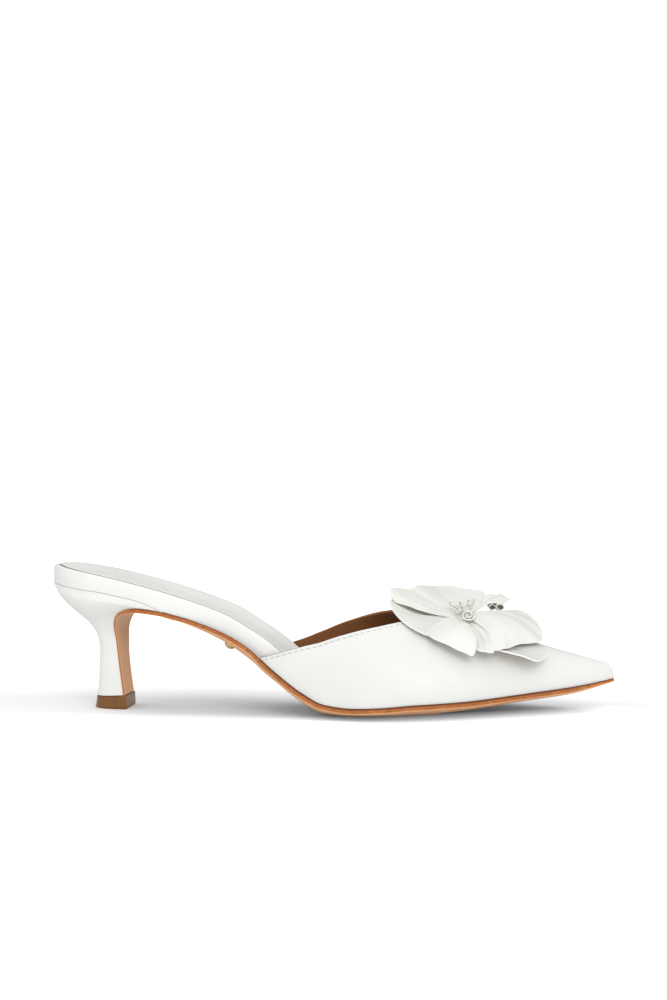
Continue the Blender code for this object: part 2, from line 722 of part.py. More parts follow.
def petal_grid(net, rows, columns):
    """The middle surface of a petal, its rows from foot to rim, its columns from first edge to last."""
    net = np.swapaxes(np.array(net), 0, 1)
    middle = np.array([FLOWER_X, FLOWER_Y, last_height(FLOWER_X, FLOWER_Y)])
    lines = []
    for k in range(columns + 1):
        place = 2.0 * k / columns - 1.0
        line = natural(net, (place + 1.0) / 2.0 * (len(net) - 1))
        reach = 1.0 - PETAL_CORNER * place**6
        shares = [PETAL_FOOT + (reach - PETAL_FOOT) * i / rows for i in range(rows + 1)]
        lines.append([middle + natural(line, share * (len(line) - 1)) for share in shares])
    return np.swapaxes(np.array(lines), 0, 1)


def make_petals(holder):
    """Each petal as a thin wall about its own sheet."""
    for name, net in PETAL_NETS.items():
        middle = petal_grid(net, PETAL_ROWS, 2 * (len(net[0]) - 1))
        normals = grid_normals(middle)
        points, faces = sheet_solid(middle + PETAL_THICK / 2 * normals, middle - PETAL_THICK / 2 * normals)
        make_piece(f"petal_{name}", points, face_outwards(points, faces), "flower_leather", holder, 60.0)


def roll_axes(azimuth, pitch):
    """A roll's own axis, and the two directions square to it."""
    turn = math.radians(azimuth)
    tilt = math.radians(pitch)
    axis = np.array([math.cos(turn) * math.cos(tilt), math.sin(turn) * math.cos(tilt), math.sin(tilt)])
    beside = np.array([-math.sin(turn), math.cos(turn), 0.0])
    return axis, beside, np.cross(axis, beside)


def make_curls(holder):
    """Strips of leather rolled up into short tubes: a spiral drawn along the roll's axis."""
    steps = 18
    middle_z = last_height(FLOWER_X, FLOWER_Y)
    for number, (x, y, z, radius, length, azimuth, pitch) in enumerate(CURLS, 1):
        axis, beside, over = roll_axes(azimuth, pitch)
        end = np.array([FLOWER_X + x, FLOWER_Y + y, middle_z + z])
        outer = []
        inner = []
        for i in range(steps + 1):
            angle = 2 * math.pi * CURL_TURNS * i / steps
            way = math.cos(angle) * beside + math.sin(angle) * over
            spread = radius * (CURL_CORE + (1.0 - CURL_CORE) * i / steps)
            for line, reach in ((outer, spread), (inner, spread - CURL_WALL * radius)):
                line.append([end + way * reach, end + way * reach - axis * length])
        points, faces = sheet_solid(np.array(outer), np.array(inner))
        make_piece(f"curl_{number}", points, face_outwards(points, faces), "flower_leather", holder)


# ---------------------------------------------------------------- assembly


def clear_scene():
    """Removes whatever the scene starts with."""
    for old in list(bpy.data.objects):
        bpy.data.objects.remove(old, do_unlink=True)


def main():
    """Builds the shoe under one empty, whose place puts the origin under the middle of its box."""
    clear_scene()
    pump = bpy.data.objects.new("pump", None)
    widest = [max(half_width(x / 2, side) for x in range(int(2 * LENGTH))) for side in (-1, 1)]
    pump.location = (-LENGTH / 2 * MM, (widest[0] - widest[1]) / 2 * MM, 0.0)
    bpy.context.scene.collection.objects.link(pump)
    make_upper(pump)
    make_outsole(pump)
    make_footbed(pump)
    make_sock(pump)
    make_heel(pump)
    make_top_piece(pump)
    make_stud(pump)
    make_petals(pump)
    make_curls(pump)


main()
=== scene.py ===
"""The looks of a backless kitten-heel mule pump with a leather flower, built around its frame.

The file is laid out as an add-on. Run as a script, it makes every piece and the stage once.
"""

import math

import bmesh
import bpy
import numpy as np
from mathutils import Matrix, Vector


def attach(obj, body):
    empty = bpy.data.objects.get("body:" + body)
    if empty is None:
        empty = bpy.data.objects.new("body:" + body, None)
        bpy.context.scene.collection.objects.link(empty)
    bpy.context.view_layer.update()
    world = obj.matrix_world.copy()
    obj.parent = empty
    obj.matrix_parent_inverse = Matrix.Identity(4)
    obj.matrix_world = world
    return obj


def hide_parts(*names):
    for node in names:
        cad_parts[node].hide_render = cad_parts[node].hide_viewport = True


bl_info = {
    "name": "Flower mule pump",
    "version": (1, 0, 0),
    "blender": (4, 5, 0),
    "location": "View3D > Sidebar > Pump",
    "description": "Makes the leather, stitching, sole and flower of a kitten-heel mule",
    "category": "Object",
}

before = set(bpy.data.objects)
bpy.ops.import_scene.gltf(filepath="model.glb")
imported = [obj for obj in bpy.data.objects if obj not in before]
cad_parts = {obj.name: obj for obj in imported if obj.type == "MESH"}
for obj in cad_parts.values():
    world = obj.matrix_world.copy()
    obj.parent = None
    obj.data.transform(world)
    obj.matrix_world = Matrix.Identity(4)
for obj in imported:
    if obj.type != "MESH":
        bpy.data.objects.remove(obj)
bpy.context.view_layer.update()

# ---------------------------------------------------------------- the shoe's shape, in millimetres

MM = 0.001
LENGTH = 258.0

# The outline's rounded ends, and how far the toe draws back as the outline is drawn in.
HEEL_ROUND = 27.0
TOE_ROUND = 5.0
NOSE_ROUND = 3.2
TIP_SETBACK = 2.3

# The vamp: its wall, how it tucks in at the feather edge, where it starts and ends, and its arch.
UNDER_GAP = 0.25
WALL = 1.6
FEATHER_INSET = 0.7
TUCK_SHARE = 0.3
TUCK_WIDTH = 8.0
TUCK_TOE = 6.0
CORNER_X = 101.4
THROAT_X = 181.0
ARCH_POWER = 2.1
ARCH_ROUND = 1.75
FOOT_CROWD = 1.15
COLLAR_CROWD = 1.4

# The sole: its thickness, its edge, and the flap with its raw edge on the heel's breast.
SOLE_THICK = 2.1
SOLE_TOE_THICK = 1.1
SOLE_THIN_X = 232.0
SOLE_LEAST = 1.8
SOLE_INSET = -0.1
SOLE_TIP = 0.1
SOLE_CROWD = 0.8
SEAT_RUN = 1.2
FLAP_THICK = 0.7
FLAP_FROM_X = 33.0
FLAP_TO_X = 42.0
RAW_TO_X = 38.0
RAW_FROM_X = 44.0
CROWN_POWER = 3.4

# The footbed: its band, which runs on inside the vamp, the sock's recess and the dished face.
BAND_INSET = 0.5
BACK_INSET = 1.2
BACK_CROWD = 1.7
HIDDEN_INSET = 3.1
BAND_END_X = 60.0
HIDDEN_X = 98.0
RIM_WIDTH = 1.7
RECESS = 1.3
DISH = 0.8
DISH_CROWN = 0.35
MEDIAL_RISE = 0.6
ARCH_RISE = 0.5
ARCH_X = 84.0
ARCH_WIDTH = 13.0

# The heel: how round it is at its foot and at its seat, and the seat's reach.
POST_ROUND = 2.6
SEAT_ROUND = 4.5
SEAT_BACK = 1.2
SEAT_GROW = 0.1

# Along the shoe: x, half width on the lateral and the medial side, seam, rim and the sole's crown.
SECTIONS = (
    (0.0, 26.3, 25.8, 58.4, 68.1, 0.0),
    (8.0, 26.3, 25.8, 57.3, 66.2, 0.0),
    (15.0, 26.3, 25.8, 56.3, 64.7, 0.0),
    (27.0, 26.3, 25.8, 54.7, 62.3, 0.0),
    (38.0, 26.5, 25.5, 52.4, 59.8, 0.0),
    (45.0, 26.6, 25.3, 50.8, 58.0, 0.0),
    (51.0, 26.6, 24.7, 48.6, 56.5, 0.0),
    (57.0, 26.5, 23.9, 46.1, 54.8, 0.0),
    (70.0, 26.4, 22.2, 42.6, 50.8, 2.2),
    (85.0, 27.2, 20.6, 37.0, 45.2, 3.9),
    (97.0, 28.4, 19.8, 30.0, 38.4, 5.2),
    (104.0, 29.4, 19.9, 23.5, 34.0, 4.6),
    (110.0, 30.5, 20.2, 18.6, 29.2, 4.1),
    (120.0, 32.5, 21.6, 11.4, 20.8, 4.3),
    (130.0, 34.8, 24.0, 6.8, 14.0, 4.4),
    (142.0, 37.2, 27.8, 5.6, 10.6, 3.5),
    (155.0, 38.5, 32.5, 6.2, 9.9, 4.1),
    (170.0, 37.8, 36.4, 7.5, 11.2, 4.9),
    (190.0, 32.4, 35.0, 8.4, 12.5, 3.8),
    (215.0, 21.3, 25.0, 10.4, 14.2, 2.3),
    (240.0, 9.7, 12.0, 12.7, 16.2, 1.4),
    (258.0, 1.9, 1.9, 15.6, 18.6, 0.2),
)

# Along the vamp: x and the height of the last's top.
LAST = (
    (97.0, 82.0),
    (110.0, 73.5),
    (120.0, 68.0),
    (130.0, 62.5),
    (142.0, 56.5),
    (155.0, 51.0),
    (170.0, 45.9),
    (190.0, 40.6),
    (215.0, 33.8),
    (228.0, 29.8),
    (240.0, 26.5),
    (258.0, 21.6),
)

# Along the vamp: x and the collar's share of the last's height, on the lateral and the medial side.
COLLAR = (
    (101.4, 0.006, 0.006),
    (110.0, 0.18, 0.18),
    (120.0, 0.351, 0.366),
    (130.0, 0.486, 0.531),
    (142.0, 0.626, 0.689),
    (154.0, 0.75, 0.832),
    (164.0, 0.853, 0.925),
    (181.0, 1.0, 1.0),
)

# Levels from the lowest up: back x and z, breast x and z, and half width.
TOP_PIECE = (
    (20.7, 0.0, 36.5, 0.0, 8.5),
    (20.3, 0.5, 36.9, 0.5, 8.9),
    (21.0, 5.4, 36.6, 6.1, 9.0),
)
HEEL = (
    (21.2, 5.7, 35.1, 6.4, 8.7),
    (22.0, 12.0, 34.4, 12.0, 8.7),
    (22.2, 19.0, 33.5, 19.0, 9.0),
    (22.5, 26.0, 32.8, 26.0, 9.7),
    (22.0, 31.8, 32.4, 32.4, 11.2),
    (20.5, 36.0, 32.1, 37.0, 13.4),
    (17.9, 39.7, 32.8, 40.9, 16.4),
    (14.6, 42.7, 34.5, 43.9, 19.4),
    (10.4, 46.2, 37.6, 46.0, 22.3),
    (6.2, 50.2, 42.4, 47.3, 24.4),
    (3.2, 54.0, 49.0, 47.2, 25.7),
    (1.8, 57.0, 57.4, 46.0, 26.2),
)


def spline(xs, ys):
    """A smooth curve through the points, which never overshoots them; it takes arrays."""
    xs = np.asarray(xs, float)
    ys = np.asarray(ys, float)
    steps = np.diff(xs)
    rates = np.diff(ys) / steps
    slopes = np.concatenate([rates[:1], np.zeros(len(xs) - 2), rates[-1:]])
    for i in range(1, len(xs) - 1):
        if rates[i - 1] * rates[i] > 0.0:
            slopes[i] = 2.0 / (1.0 / rates[i - 1] + 1.0 / rates[i])

    def at(x):
        x = np.clip(x, xs[0], xs[-1])
        i = np.clip(np.searchsorted(xs, x, side="right") - 1, 0, len(steps) - 1)
        t = (x - xs[i]) / steps[i]
        rise = ys[i + 1] - ys[i]
        rising = slopes[i] * steps[i] * t * (1 - t) ** 2
        curved = rising - slopes[i + 1] * steps[i] * t * t * (1 - t)
        return ys[i] + rise * t * t * (3 - 2 * t) + curved

    return at


def curves(rows):
    """Every column of a table as a smooth curve along its first."""
    first, *others = zip(*rows)
    return [spline(first, values) for values in others]


LATERAL, MEDIAL, SEAM, RIM, CROWN = curves(SECTIONS)
(LAST_TOP,) = curves(LAST)
COLLAR_LATERAL, COLLAR_MEDIAL = curves(COLLAR)


def ease(share):
    """A quarter circle's height at this share of its radius."""
    left = 1.0 - np.clip(share, 0.0, 1.0)
    return np.sqrt(1.0 - left * left)


def blend(x, start, end):
    """0 before start, 1 after end, and smooth between them."""
    t = np.clip((x - start) / (end - start), 0.0, 1.0)
    return t * t * (3 - 2 * t)


def hump(x, width):
    """A smooth hump of this half width round 0."""
    return np.exp(-((x / width) ** 2))


def toe_end(inset):
    """Where the outline ends at the toe when it is drawn in by inset."""
    return LENGTH - TIP_SETBACK * inset


def half_width(x, side, inset=0.0, front=None, back=None):
    """The outline's half width on the lateral side (below 0) or the medial, drawn in by inset."""
    front = toe_end(inset) if front is None else front
    back = inset if back is None else back
    width = np.where(np.asarray(side) < 0, LATERAL(x), MEDIAL(x)) - inset
    round_back = ease((x - back) / (HEEL_ROUND - back))
    return np.maximum(width, 0.0) * round_back * ease((front - x) / TOE_ROUND)


def sole_top(x, y):
    """The height of the sole's upper face."""
    share = np.minimum(np.abs(y) / np.maximum(half_width(x, y), 0.1), 1.0)
    return np.maximum(SEAM(x) - CROWN(x) * (1.0 - share**CROWN_POWER), SOLE_LEAST)


def last_height(x, y):
    """The height of the upper's outer face over a point of the plan."""
    share = np.minimum(np.abs(y) / np.maximum(half_width(x, y), 1e-6), 1.0)
    tall = (LAST_TOP(x) - SEAM(x)) * ease((LENGTH - x) / NOSE_ROUND)
    return SEAM(x) + UNDER_GAP + tall * (1.0 - share**ARCH_POWER) ** (1.0 / ARCH_ROUND)


def collar_point(x, side):
    """The collar's place in plan, where the last's wall has the collar's height."""
    height = COLLAR_LATERAL(x) if side < 0 else COLLAR_MEDIAL(x)
    share = max(1.0 - height**ARCH_ROUND, 0.0) ** (1.0 / ARCH_POWER)
    return np.array([x, side * share * half_width(x, side)])


def footbed_inset(x):
    """The band shows almost at the outline behind the vamp, and runs on inside it."""
    return BAND_INSET + (HIDDEN_INSET - BAND_INSET) * blend(x, BAND_END_X, HIDDEN_X)


def footbed_top(x, y):
    """The footbed's face, dished between its edges and a little higher at the arch of the foot."""
    share = np.clip(y / np.maximum(half_width(x, y, footbed_inset(x)), 1.0), -1.0, 1.0)
    rise = (MEDIAL_RISE + ARCH_RISE * hump(x - ARCH_X, ARCH_WIDTH)) * ((1.0 + share) / 2.0) ** 2
    return RIM(x) + rise - (DISH + DISH_CROWN * CROWN(x)) * (1.0 - share * share)


def sideways_shift():
    """How far the outline's middle lies from the line that the tables measure from."""
    xs = np.arange(int(2 * LENGTH)) / 2
    return (half_width(xs, -1).max() - half_width(xs, 1).max()) / 2


ORIGIN = np.array([-LENGTH / 2, sideways_shift(), 0.0])


def placed(points):
    """Points of the tables' millimetres as metres in the row's frame."""
    return (np.asarray(points, float) + ORIGIN) * MM


# ---------------------------------------------------------------- meshes

MERGE = 1e-7
SHARP_FROM = 50.0
BEAD_BLUNT = 0.7
BEAD_TIP = 0.02
OUTLINE_COUNT = 150


def make_piece(name, points, faces, materials, groups, slot_name, node=None):
    """A closed smooth mesh riding on the shoe, with a material for each of its face groups."""
    mesh = bpy.data.meshes.new(name)
    mesh.from_pydata(placed(points).tolist(), [], faces)
    for material in materials:
        mesh.materials.append(material)
    if groups is not None:
        mesh.polygons.foreach_set("material_index", groups)
    shape = bmesh.new()
    shape.from_mesh(mesh)
    bmesh.ops.remove_doubles(shape, verts=shape.verts, dist=MERGE)
    bmesh.ops.recalc_face_normals(shape, faces=shape.faces)
    shape.to_mesh(mesh)
    shape.free()
    mesh.shade_smooth()
    mesh.set_sharp_from_angle(angle=math.radians(SHARP_FROM))
    piece = bpy.data.objects.new(name, mesh)
    bpy.context.scene.collection.objects.link(piece)
    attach(piece, "root")
    if node:
        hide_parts(node)
    return piece


def strip(first, second, closed=False):
    """Quads between two equal rows of point numbers."""
    count = len(first)
    last = count if closed else count - 1
    after = [(i + 1) % count for i in range(last)]
    return [(first[i], first[j], second[j], second[i]) for i, j in enumerate(after)]


def unit(vectors):
    """Vectors made one long."""
    return vectors / np.maximum(np.linalg.norm(vectors, axis=-1, keepdims=True), 1e-9)


def grid_normals(grid):
    """Unit normals of a grid of points, from its rows and columns."""
    return unit(np.cross(np.gradient(grid, axis=1), np.gradient(grid, axis=0)))


def upward_normals(sheet):
    """Unit normals of a sheet, on the side that mostly looks up."""
    up = grid_normals(sheet)
    return -up if up[..., 2].mean() < 0 else up


def border(rows, columns):
    """The (row, column) pairs round a grid, and the pair just inside each."""
    around = [(0, j) for j in range(columns - 1)]
    around += [(i, columns - 1) for i in range(rows - 1)]
    around += [(rows - 1, j) for j in range(columns - 1, 0, -1)]
    around += [(i, 0) for i in range(rows - 1, 0, -1)]
    inside = [(min(max(i, 1), rows - 2), min(max(j, 1), columns - 2)) for i, j in around]
    return around, inside

def wall_mesh(outer, inner, look, steps, bulge, square):
    """A wall between two grids, with edges that bulge outwards.

    It returns points, faces and each face's group, which look gives for the outer side, the inner
    side and each of the edge's strips."""
    rows, columns = outer.shape[:2]
    points = [outer.reshape(-1, 3), inner.reshape(-1, 3)]
    top = np.arange(rows * columns).reshape(rows, columns)
    low = top + rows * columns
    faces = []
    for i in range(rows - 1):
        faces += strip(top[i].tolist(), top[i + 1].tolist())
    groups = [look[0]] * len(faces)
    for i in range(rows - 1):
        faces += strip(low[i + 1].tolist(), low[i].tolist())
    groups += [look[1]] * (len(faces) - len(groups))
    around, inside = border(rows, columns)
    rim_out = np.array([outer[i, j] for i, j in around])
    rim_in = np.array([inner[i, j] for i, j in around])
    middle = (outer + inner) / 2
    outwards = unit(np.array([middle[a] - middle[b] for a, b in zip(around, inside)]))
    centre = (rim_out + rim_in) / 2
    loops = [[int(top[i, j]) for i, j in around]]
    for step in range(1, steps):
        turn = math.pi * step / steps
        across = math.copysign(abs(math.cos(turn)) ** square, math.cos(turn))
        out = math.sin(turn) ** square
        first = 2 * rows * columns + (step - 1) * len(around)
        loops.append(list(range(first, first + len(around))))
        points.append(centre + (rim_out - rim_in) / 2 * across + outwards * bulge * out)
    loops.append([int(low[i, j]) for i, j in around])
    for step, (first, second) in enumerate(zip(loops[:-1], loops[1:])):
        added = strip(first, second, closed=True)
        faces += added
        groups += [look[2 + step]] * len(added)
    return np.concatenate(points), faces, groups


def lens_faces(loop, cols, heights, points):
    """Faces across a loop whose point i faces point -i, in cols columns. It adds to points."""
    count = len(loop) // 2
    rows = [[loop[0]] * (cols + 1)]
    for i in range(1, count):
        first = np.array(points[loop[i]])
        last = np.array(points[loop[2 * count - i]])
        row = [loop[i]]
        for k in range(1, cols):
            x, y = (first + (last - first) * k / cols)[:2]
            points.append((x, y, float(heights(x, y))))
            row.append(len(points) - 1)
        rows.append(row + [loop[2 * count - i]])
    rows.append([loop[count]] * (cols + 1))
    faces = []
    for first, second in zip(rows[:-1], rows[1:]):
        for k in range(cols):
            face = []
            for number in (first[k], second[k], second[k + 1], first[k + 1]):
                if number not in face:
                    face.append(number)
            faces.append(tuple(face))
    return faces


def stack_mesh(layers, cols, low_heights, high_heights):
    """A closed mesh from loops of points, lowest first. A face's group is its layer's number."""
    points = []
    loops = []
    for layer in layers:
        loops.append(list(range(len(points), len(points) + len(layer))))
        points += [tuple(float(c) for c in point) for point in layer]
    faces = []
    groups = []
    for number, (low, high) in enumerate(zip(loops[:-1], loops[1:])):
        added = strip(low, high, closed=True)
        faces += added
        groups += [number] * len(added)
    base = [tuple(reversed(face)) for face in lens_faces(loops[0], cols, low_heights, points)]
    face = lens_faces(loops[-1], cols, high_heights, points)
    groups += [0] * len(base) + [len(layers)] * len(face)
    return points, faces + base + face, groups


def plan_loop(extra):
    """Points round the footbed's outline drawn in by extra, from the toe down the lateral side."""
    count = OUTLINE_COUNT
    back = BACK_INSET + BACK_CROWD * extra
    front = toe_end(HIDDEN_INSET + extra)
    loop = []
    for i in range(2 * count):
        along = (1.0 + math.cos(math.pi * i / count)) / 2.0
        x = back + (front - back) * along
        side = -1 if i < count else 1
        width = float(half_width(x, side, footbed_inset(x) + extra, front, back))
        if i in (0, count):
            width = 0.0
        loop.append((x, side * width))
    return loop


def layer(extra, height):
    """The footbed's outline drawn in by extra, with a height for each of its points."""
    return [(x, y, height(x, y)) for x, y in plan_loop(extra)]


def round_faces(levels, sides, base=0):
    """Faces of a closed round form whose points come ring by ring from base, with flat ends."""
    faces = []
    for level in range(levels - 1):
        first = list(range(base + level * sides, base + (level + 1) * sides))
        faces += strip(first, [number + sides for number in first], closed=True)
    top = base + (levels - 1) * sides
    return faces + [tuple(reversed(range(base, base + sides))), tuple(range(top, top + sides))]


def turned_mesh(rings, place, sides=48):
    """A closed round form of (share, height) rings, whose points place() gives for each turn."""
    turns = [2 * math.pi * k / sides for k in range(sides)]
    points = [place(share, height, turn) for share, height in rings for turn in turns]
    return points, round_faces(len(rings), sides)


def bead_mesh(centres, along, up, halves, rings=6, sides=8):
    """Many small rounded beads, each drawn out along its own direction."""
    along = unit(np.asarray(along))
    across = unit(np.cross(up, along))
    over = np.cross(along, across)
    half_long, half_wide, half_high = halves
    points = []
    faces = []
    for centre, a, b, c in zip(centres, along, across, over):
        faces += round_faces(rings + 1, sides, len(points))
        for i in range(rings + 1):
            tilt = math.pi * (i / rings - 0.5)
            reach = math.copysign(abs(math.sin(tilt)) ** BEAD_BLUNT, math.sin(tilt))
            girth = max(math.cos(tilt), 0.0) ** BEAD_BLUNT
            for k in range(sides):
                turn = 2 * math.pi * k / sides
                ring = b * half_wide * math.cos(turn) + c * half_high * math.sin(turn)
                points.append(centre + a * half_long * reach + ring * max(girth, BEAD_TIP))
    return np.array(points), faces


# ---------------------------------------------------------------- colours and sizes


def tint(title, words, value):
    """A colour that a user can change."""
    return bpy.props.FloatVectorProperty(
        name=title,
        description=f"Colour of {words}",
        default=value,
        subtype="COLOR",
        size=3,
        min=0.0,
        max=1.0,
    )


def measure(title, words, value, **limits):
    """A length that a user can change, in metres."""
    return bpy.props.FloatProperty(
        name=title, description=words, default=value, unit="LENGTH", **limits
    )


class PumpColours(bpy.types.PropertyGroup):
    """The finishes' own colours, before the grain and the drift of tone."""

    white: tint("White leather", "the vamp, the band and the heel cover", (0.765, 0.765, 0.744))
    flower: tint("Flower leather", "the petals and the curls", (0.86, 0.865, 0.815))
    flesh: tint("Petal backs", "the petals' rough backs", (0.72, 0.68, 0.60))
    sock: tint("Sock", "the sock that lines the footbed", (0.845, 0.85, 0.82))
    # The sock's cut edge is dark grey: painted shade of the thin gap between the rim and the sock.
    sock_edge: tint("Sock edge", "the sock's cut edge", (0.17, 0.165, 0.15))
    lining: tint("Lining", "the vamp's lining", (0.22, 0.085, 0.03))
    lining_thread: tint("Lining thread", "the stitches in the lining", (0.20, 0.09, 0.03))
    # The needle holes are dark beads: painted shade in the holes.
    hole: tint("Needle holes", "the collar's needle holes", (0.42, 0.41, 0.385))
    cut_edge: tint("Cut edge", "the leather's raw cut edge at the collar", (0.32, 0.14, 0.05))
    sole: tint("Sole", "the sole's tread and the heel's breast", (0.97, 0.49, 0.235))
    sole_edge: tint("Sole edge", "the sole's burnished edge", (0.62, 0.222, 0.072))
    edge_line: tint("Edge line", "the dark line along the sole's top edge", (0.30, 0.088, 0.03))
    raw_edge: tint("Raw edge", "the flap's raw edge beside the heel", (0.62, 0.30, 0.11))
    lift: tint("Top piece", "the heel's top piece", (0.37, 0.18, 0.07))
    stud: tint("Stud", "the stud under the shank", (0.80, 0.56, 0.24))
    floor: tint("Floor", "the floor", (0.985, 0.985, 0.985))


class PumpSizes(bpy.types.PropertyGroup):
    """The sizes of what is made on top of the frame."""

    stitch_pitch: measure("Stitch pitch", "From one collar stitch to the next", 0.00275, min=0.001)
    stitch_gap: measure("Stitch gap", "Length of the gap between two stitches", 0.0008)
    stitch_inset: measure("Stitch inset", "From the collar's edge to the stitches", 0.00135)
    thread: measure("Thread", "Thickness of the stitching thread", 0.00042)
    sock_rise: measure("Sock rise", "How far the sock's padding rises over its edge", 0.0004)
    grain: bpy.props.FloatProperty(
        name="Grain",
        description="Pebbles to a metre in the white leather",
        default=1150.0,
        min=100.0,
    )
    floor_size: measure("Floor size", "Side of the square floor", 6.0)


def colours():
    """The user's colours."""
    return bpy.context.scene.pump_colours


def sizes():
    """The user's sizes."""
    return bpy.context.scene.pump_sizes


def in_mm(name):
    """One of the user's lengths, in millimetres."""
    return getattr(sizes(), name) / MM


def shaded(colour, by):
    """A colour made darker by a factor."""
    return tuple(c * by for c in colour)


# ---------------------------------------------------------------- materials


def put(tree, node, inputs):
    """Gives a node's inputs their values, each a value or a socket to link."""
    for name, value in inputs.items():
        if isinstance(value, bpy.types.NodeSocket):
            tree.links.new(value, node.inputs[name])
        else:
            node.inputs[name].default_value = value


def add(tree, kind, inputs=None, **settings):
    """A shader node with its settings and its inputs."""
    made = tree.nodes.new("ShaderNode" + kind)
    for name, value in settings.items():
        setattr(made, name, value)
    put(tree, made, inputs or {})
    return made


def math_node(tree, operation, *values):
    """One sum, and its result's socket."""
    return add(tree, "Math", dict(enumerate(values)), operation=operation).outputs[0]


def ramp(tree, value, start, end, first, last):
    """A value's share of the way from start to end, as a number from first to last."""
    ends = {"From Min": start, "From Max": end, "To Min": first, "To Max": last}
    return add(tree, "MapRange", {"Value": value, **ends}).outputs[0]


def mixed(tree, factor, first, second):
    """A colour between two, each three numbers or a socket."""
    pair = [c if isinstance(c, bpy.types.NodeSocket) else (*c, 1.0) for c in (first, second)]
    inputs = {"Factor": factor, "A": pair[0], "B": pair[1]}
    return add(tree, "Mix", inputs, data_type="RGBA").outputs["Result"]


def noise(tree, where, scale, detail, rough):
    """Clouds of noise, as numbers from 0 to 1."""
    inputs = {"Vector": where, "Scale": scale, "Detail": detail, "Roughness": rough}
    return add(tree, "TexNoise", inputs).outputs[0]


def new_material(name):
    """A material with its node tree and its shader."""
    material = bpy.data.materials.new(name)
    material.use_nodes = True
    return material, material.node_tree, material.node_tree.nodes["Principled BSDF"]


def new_group(name, inputs, outputs):
    """An empty node group with these sockets, and its input and output nodes."""
    tree = bpy.data.node_groups.new(name, "ShaderNodeTree")
    for label, kind, value in inputs:
        socket = tree.interface.new_socket(label, in_out="INPUT", socket_type="NodeSocket" + kind)
        socket.default_value = value
    for label, kind in outputs:
        tree.interface.new_socket(label, in_out="OUTPUT", socket_type="NodeSocket" + kind)
    return tree, tree.nodes.new("NodeGroupInput"), tree.nodes.new("NodeGroupOutput")


def grain_group():
    """Fine pebbles and pores of a finished leather: a height and a slow drift of tone."""
    name = "leather_grain"
    if name in bpy.data.node_groups:
        return bpy.data.node_groups[name]
    tree, given, out = new_group(
        name,
        [("Pebbles", "Float", 1100.0), ("Pores", "Float", 0.3), ("Swell", "Float", 0.5)],
        [("Height", "Float"), ("Drift", "Float")],
    )
    where = add(tree, "TexCoord").outputs["Object"]
    pebbles = {"Vector": where, "Scale": given.outputs["Pebbles"]}
    cells = add(tree, "TexVoronoi", pebbles, feature="SMOOTH_F1")
    fine = noise(tree, where, 2600.0, 3.0, 0.6)
    swell = noise(tree, where, 160.0, 2.0, 0.45)
    drift = noise(tree, where, 38.0, 3.0, 0.5)
    pebble = math_node(tree, "SUBTRACT", 1.0, cells.outputs["Distance"])
    pores = math_node(tree, "MULTIPLY", fine, given.outputs["Pores"])
    rolling = math_node(tree, "MULTIPLY", swell, given.outputs["Swell"])
    height = math_node(tree, "ADD", math_node(tree, "ADD", pebble, pores), rolling)
    put(tree, out, {"Height": height, "Drift": drift})
    return tree


def handling_group():
    """Faint marks of handling: fine rubbed streaks as a mask."""
    name = "rubbed_streaks"
    if name in bpy.data.node_groups:
        return bpy.data.node_groups[name]
    tree, given, out = new_group(
        name,
        [("Scale", "Vector", (60.0, 900.0, 900.0)), ("Contrast", "Float", 0.5)],
        [("Mask", "Float")],
    )
    where = add(tree, "TexCoord").outputs["Object"]
    stretched = add(tree, "VectorMath", {0: where, 1: given.outputs["Scale"]}, operation="MULTIPLY")
    streaks = noise(tree, stretched.outputs[0], 1.0, 4.0, 0.65)
    centred = math_node(tree, "SUBTRACT", streaks, 0.5)
    mask = math_node(tree, "MULTIPLY_ADD", centred, given.outputs["Contrast"], 0.5)
    put(tree, out, {"Mask": mask})
    return tree


def grained(tree, pebbles, pores, swell, depth):
    """The grain's drift of tone, and the normal that its height gives at a depth in millimetres."""
    inputs = {"Pebbles": pebbles, "Pores": pores, "Swell": swell}
    grain = add(tree, "Group", inputs, node_tree=grain_group())
    bump = {"Height": grain.outputs["Height"], "Distance": depth * MM, "Strength": 1.0}
    return grain.outputs["Drift"], add(tree, "Bump", bump).outputs["Normal"]


def streaked(tree, scale, contrast):
    """The mask of the rubbed streaks."""
    inputs = {"Scale": scale, "Contrast": contrast}
    return add(tree, "Group", inputs, node_tree=handling_group()).outputs["Mask"]


# What a leather has where its own row says nothing else. bounce is a grey that only light bouncing
# off it sees in place of its colour: it paints the shade that it throws on the floor near it grey,
# while the camera still sees its colour. raw gives it the raw edge's colour beside the heel.
USUAL = {
    "pores": 0.3,
    "swell": 0.5,
    "streaks": (60.0, 700.0, 700.0),
    "contrast": 0.8,
    "streak_tone": 0.06,
    "streak_shade": 0.82,
    "specular": 0.45,
    "sheen": 0.05,
    "bounce": None,
    "raw": False,
}
SHEEN_ROUGHNESS = 0.4
DRIFT_FROM = 0.35
DRIFT_TO = 0.65
RUBBED_SMOOTH = 0.07
RUBBED_ROUGH = 0.09
BOUNCE = 0.24
EDGE_STREAKS = (420.0, 420.0, 700.0)
THREAD_STREAKS = (5200.0, 5200.0, 5200.0)

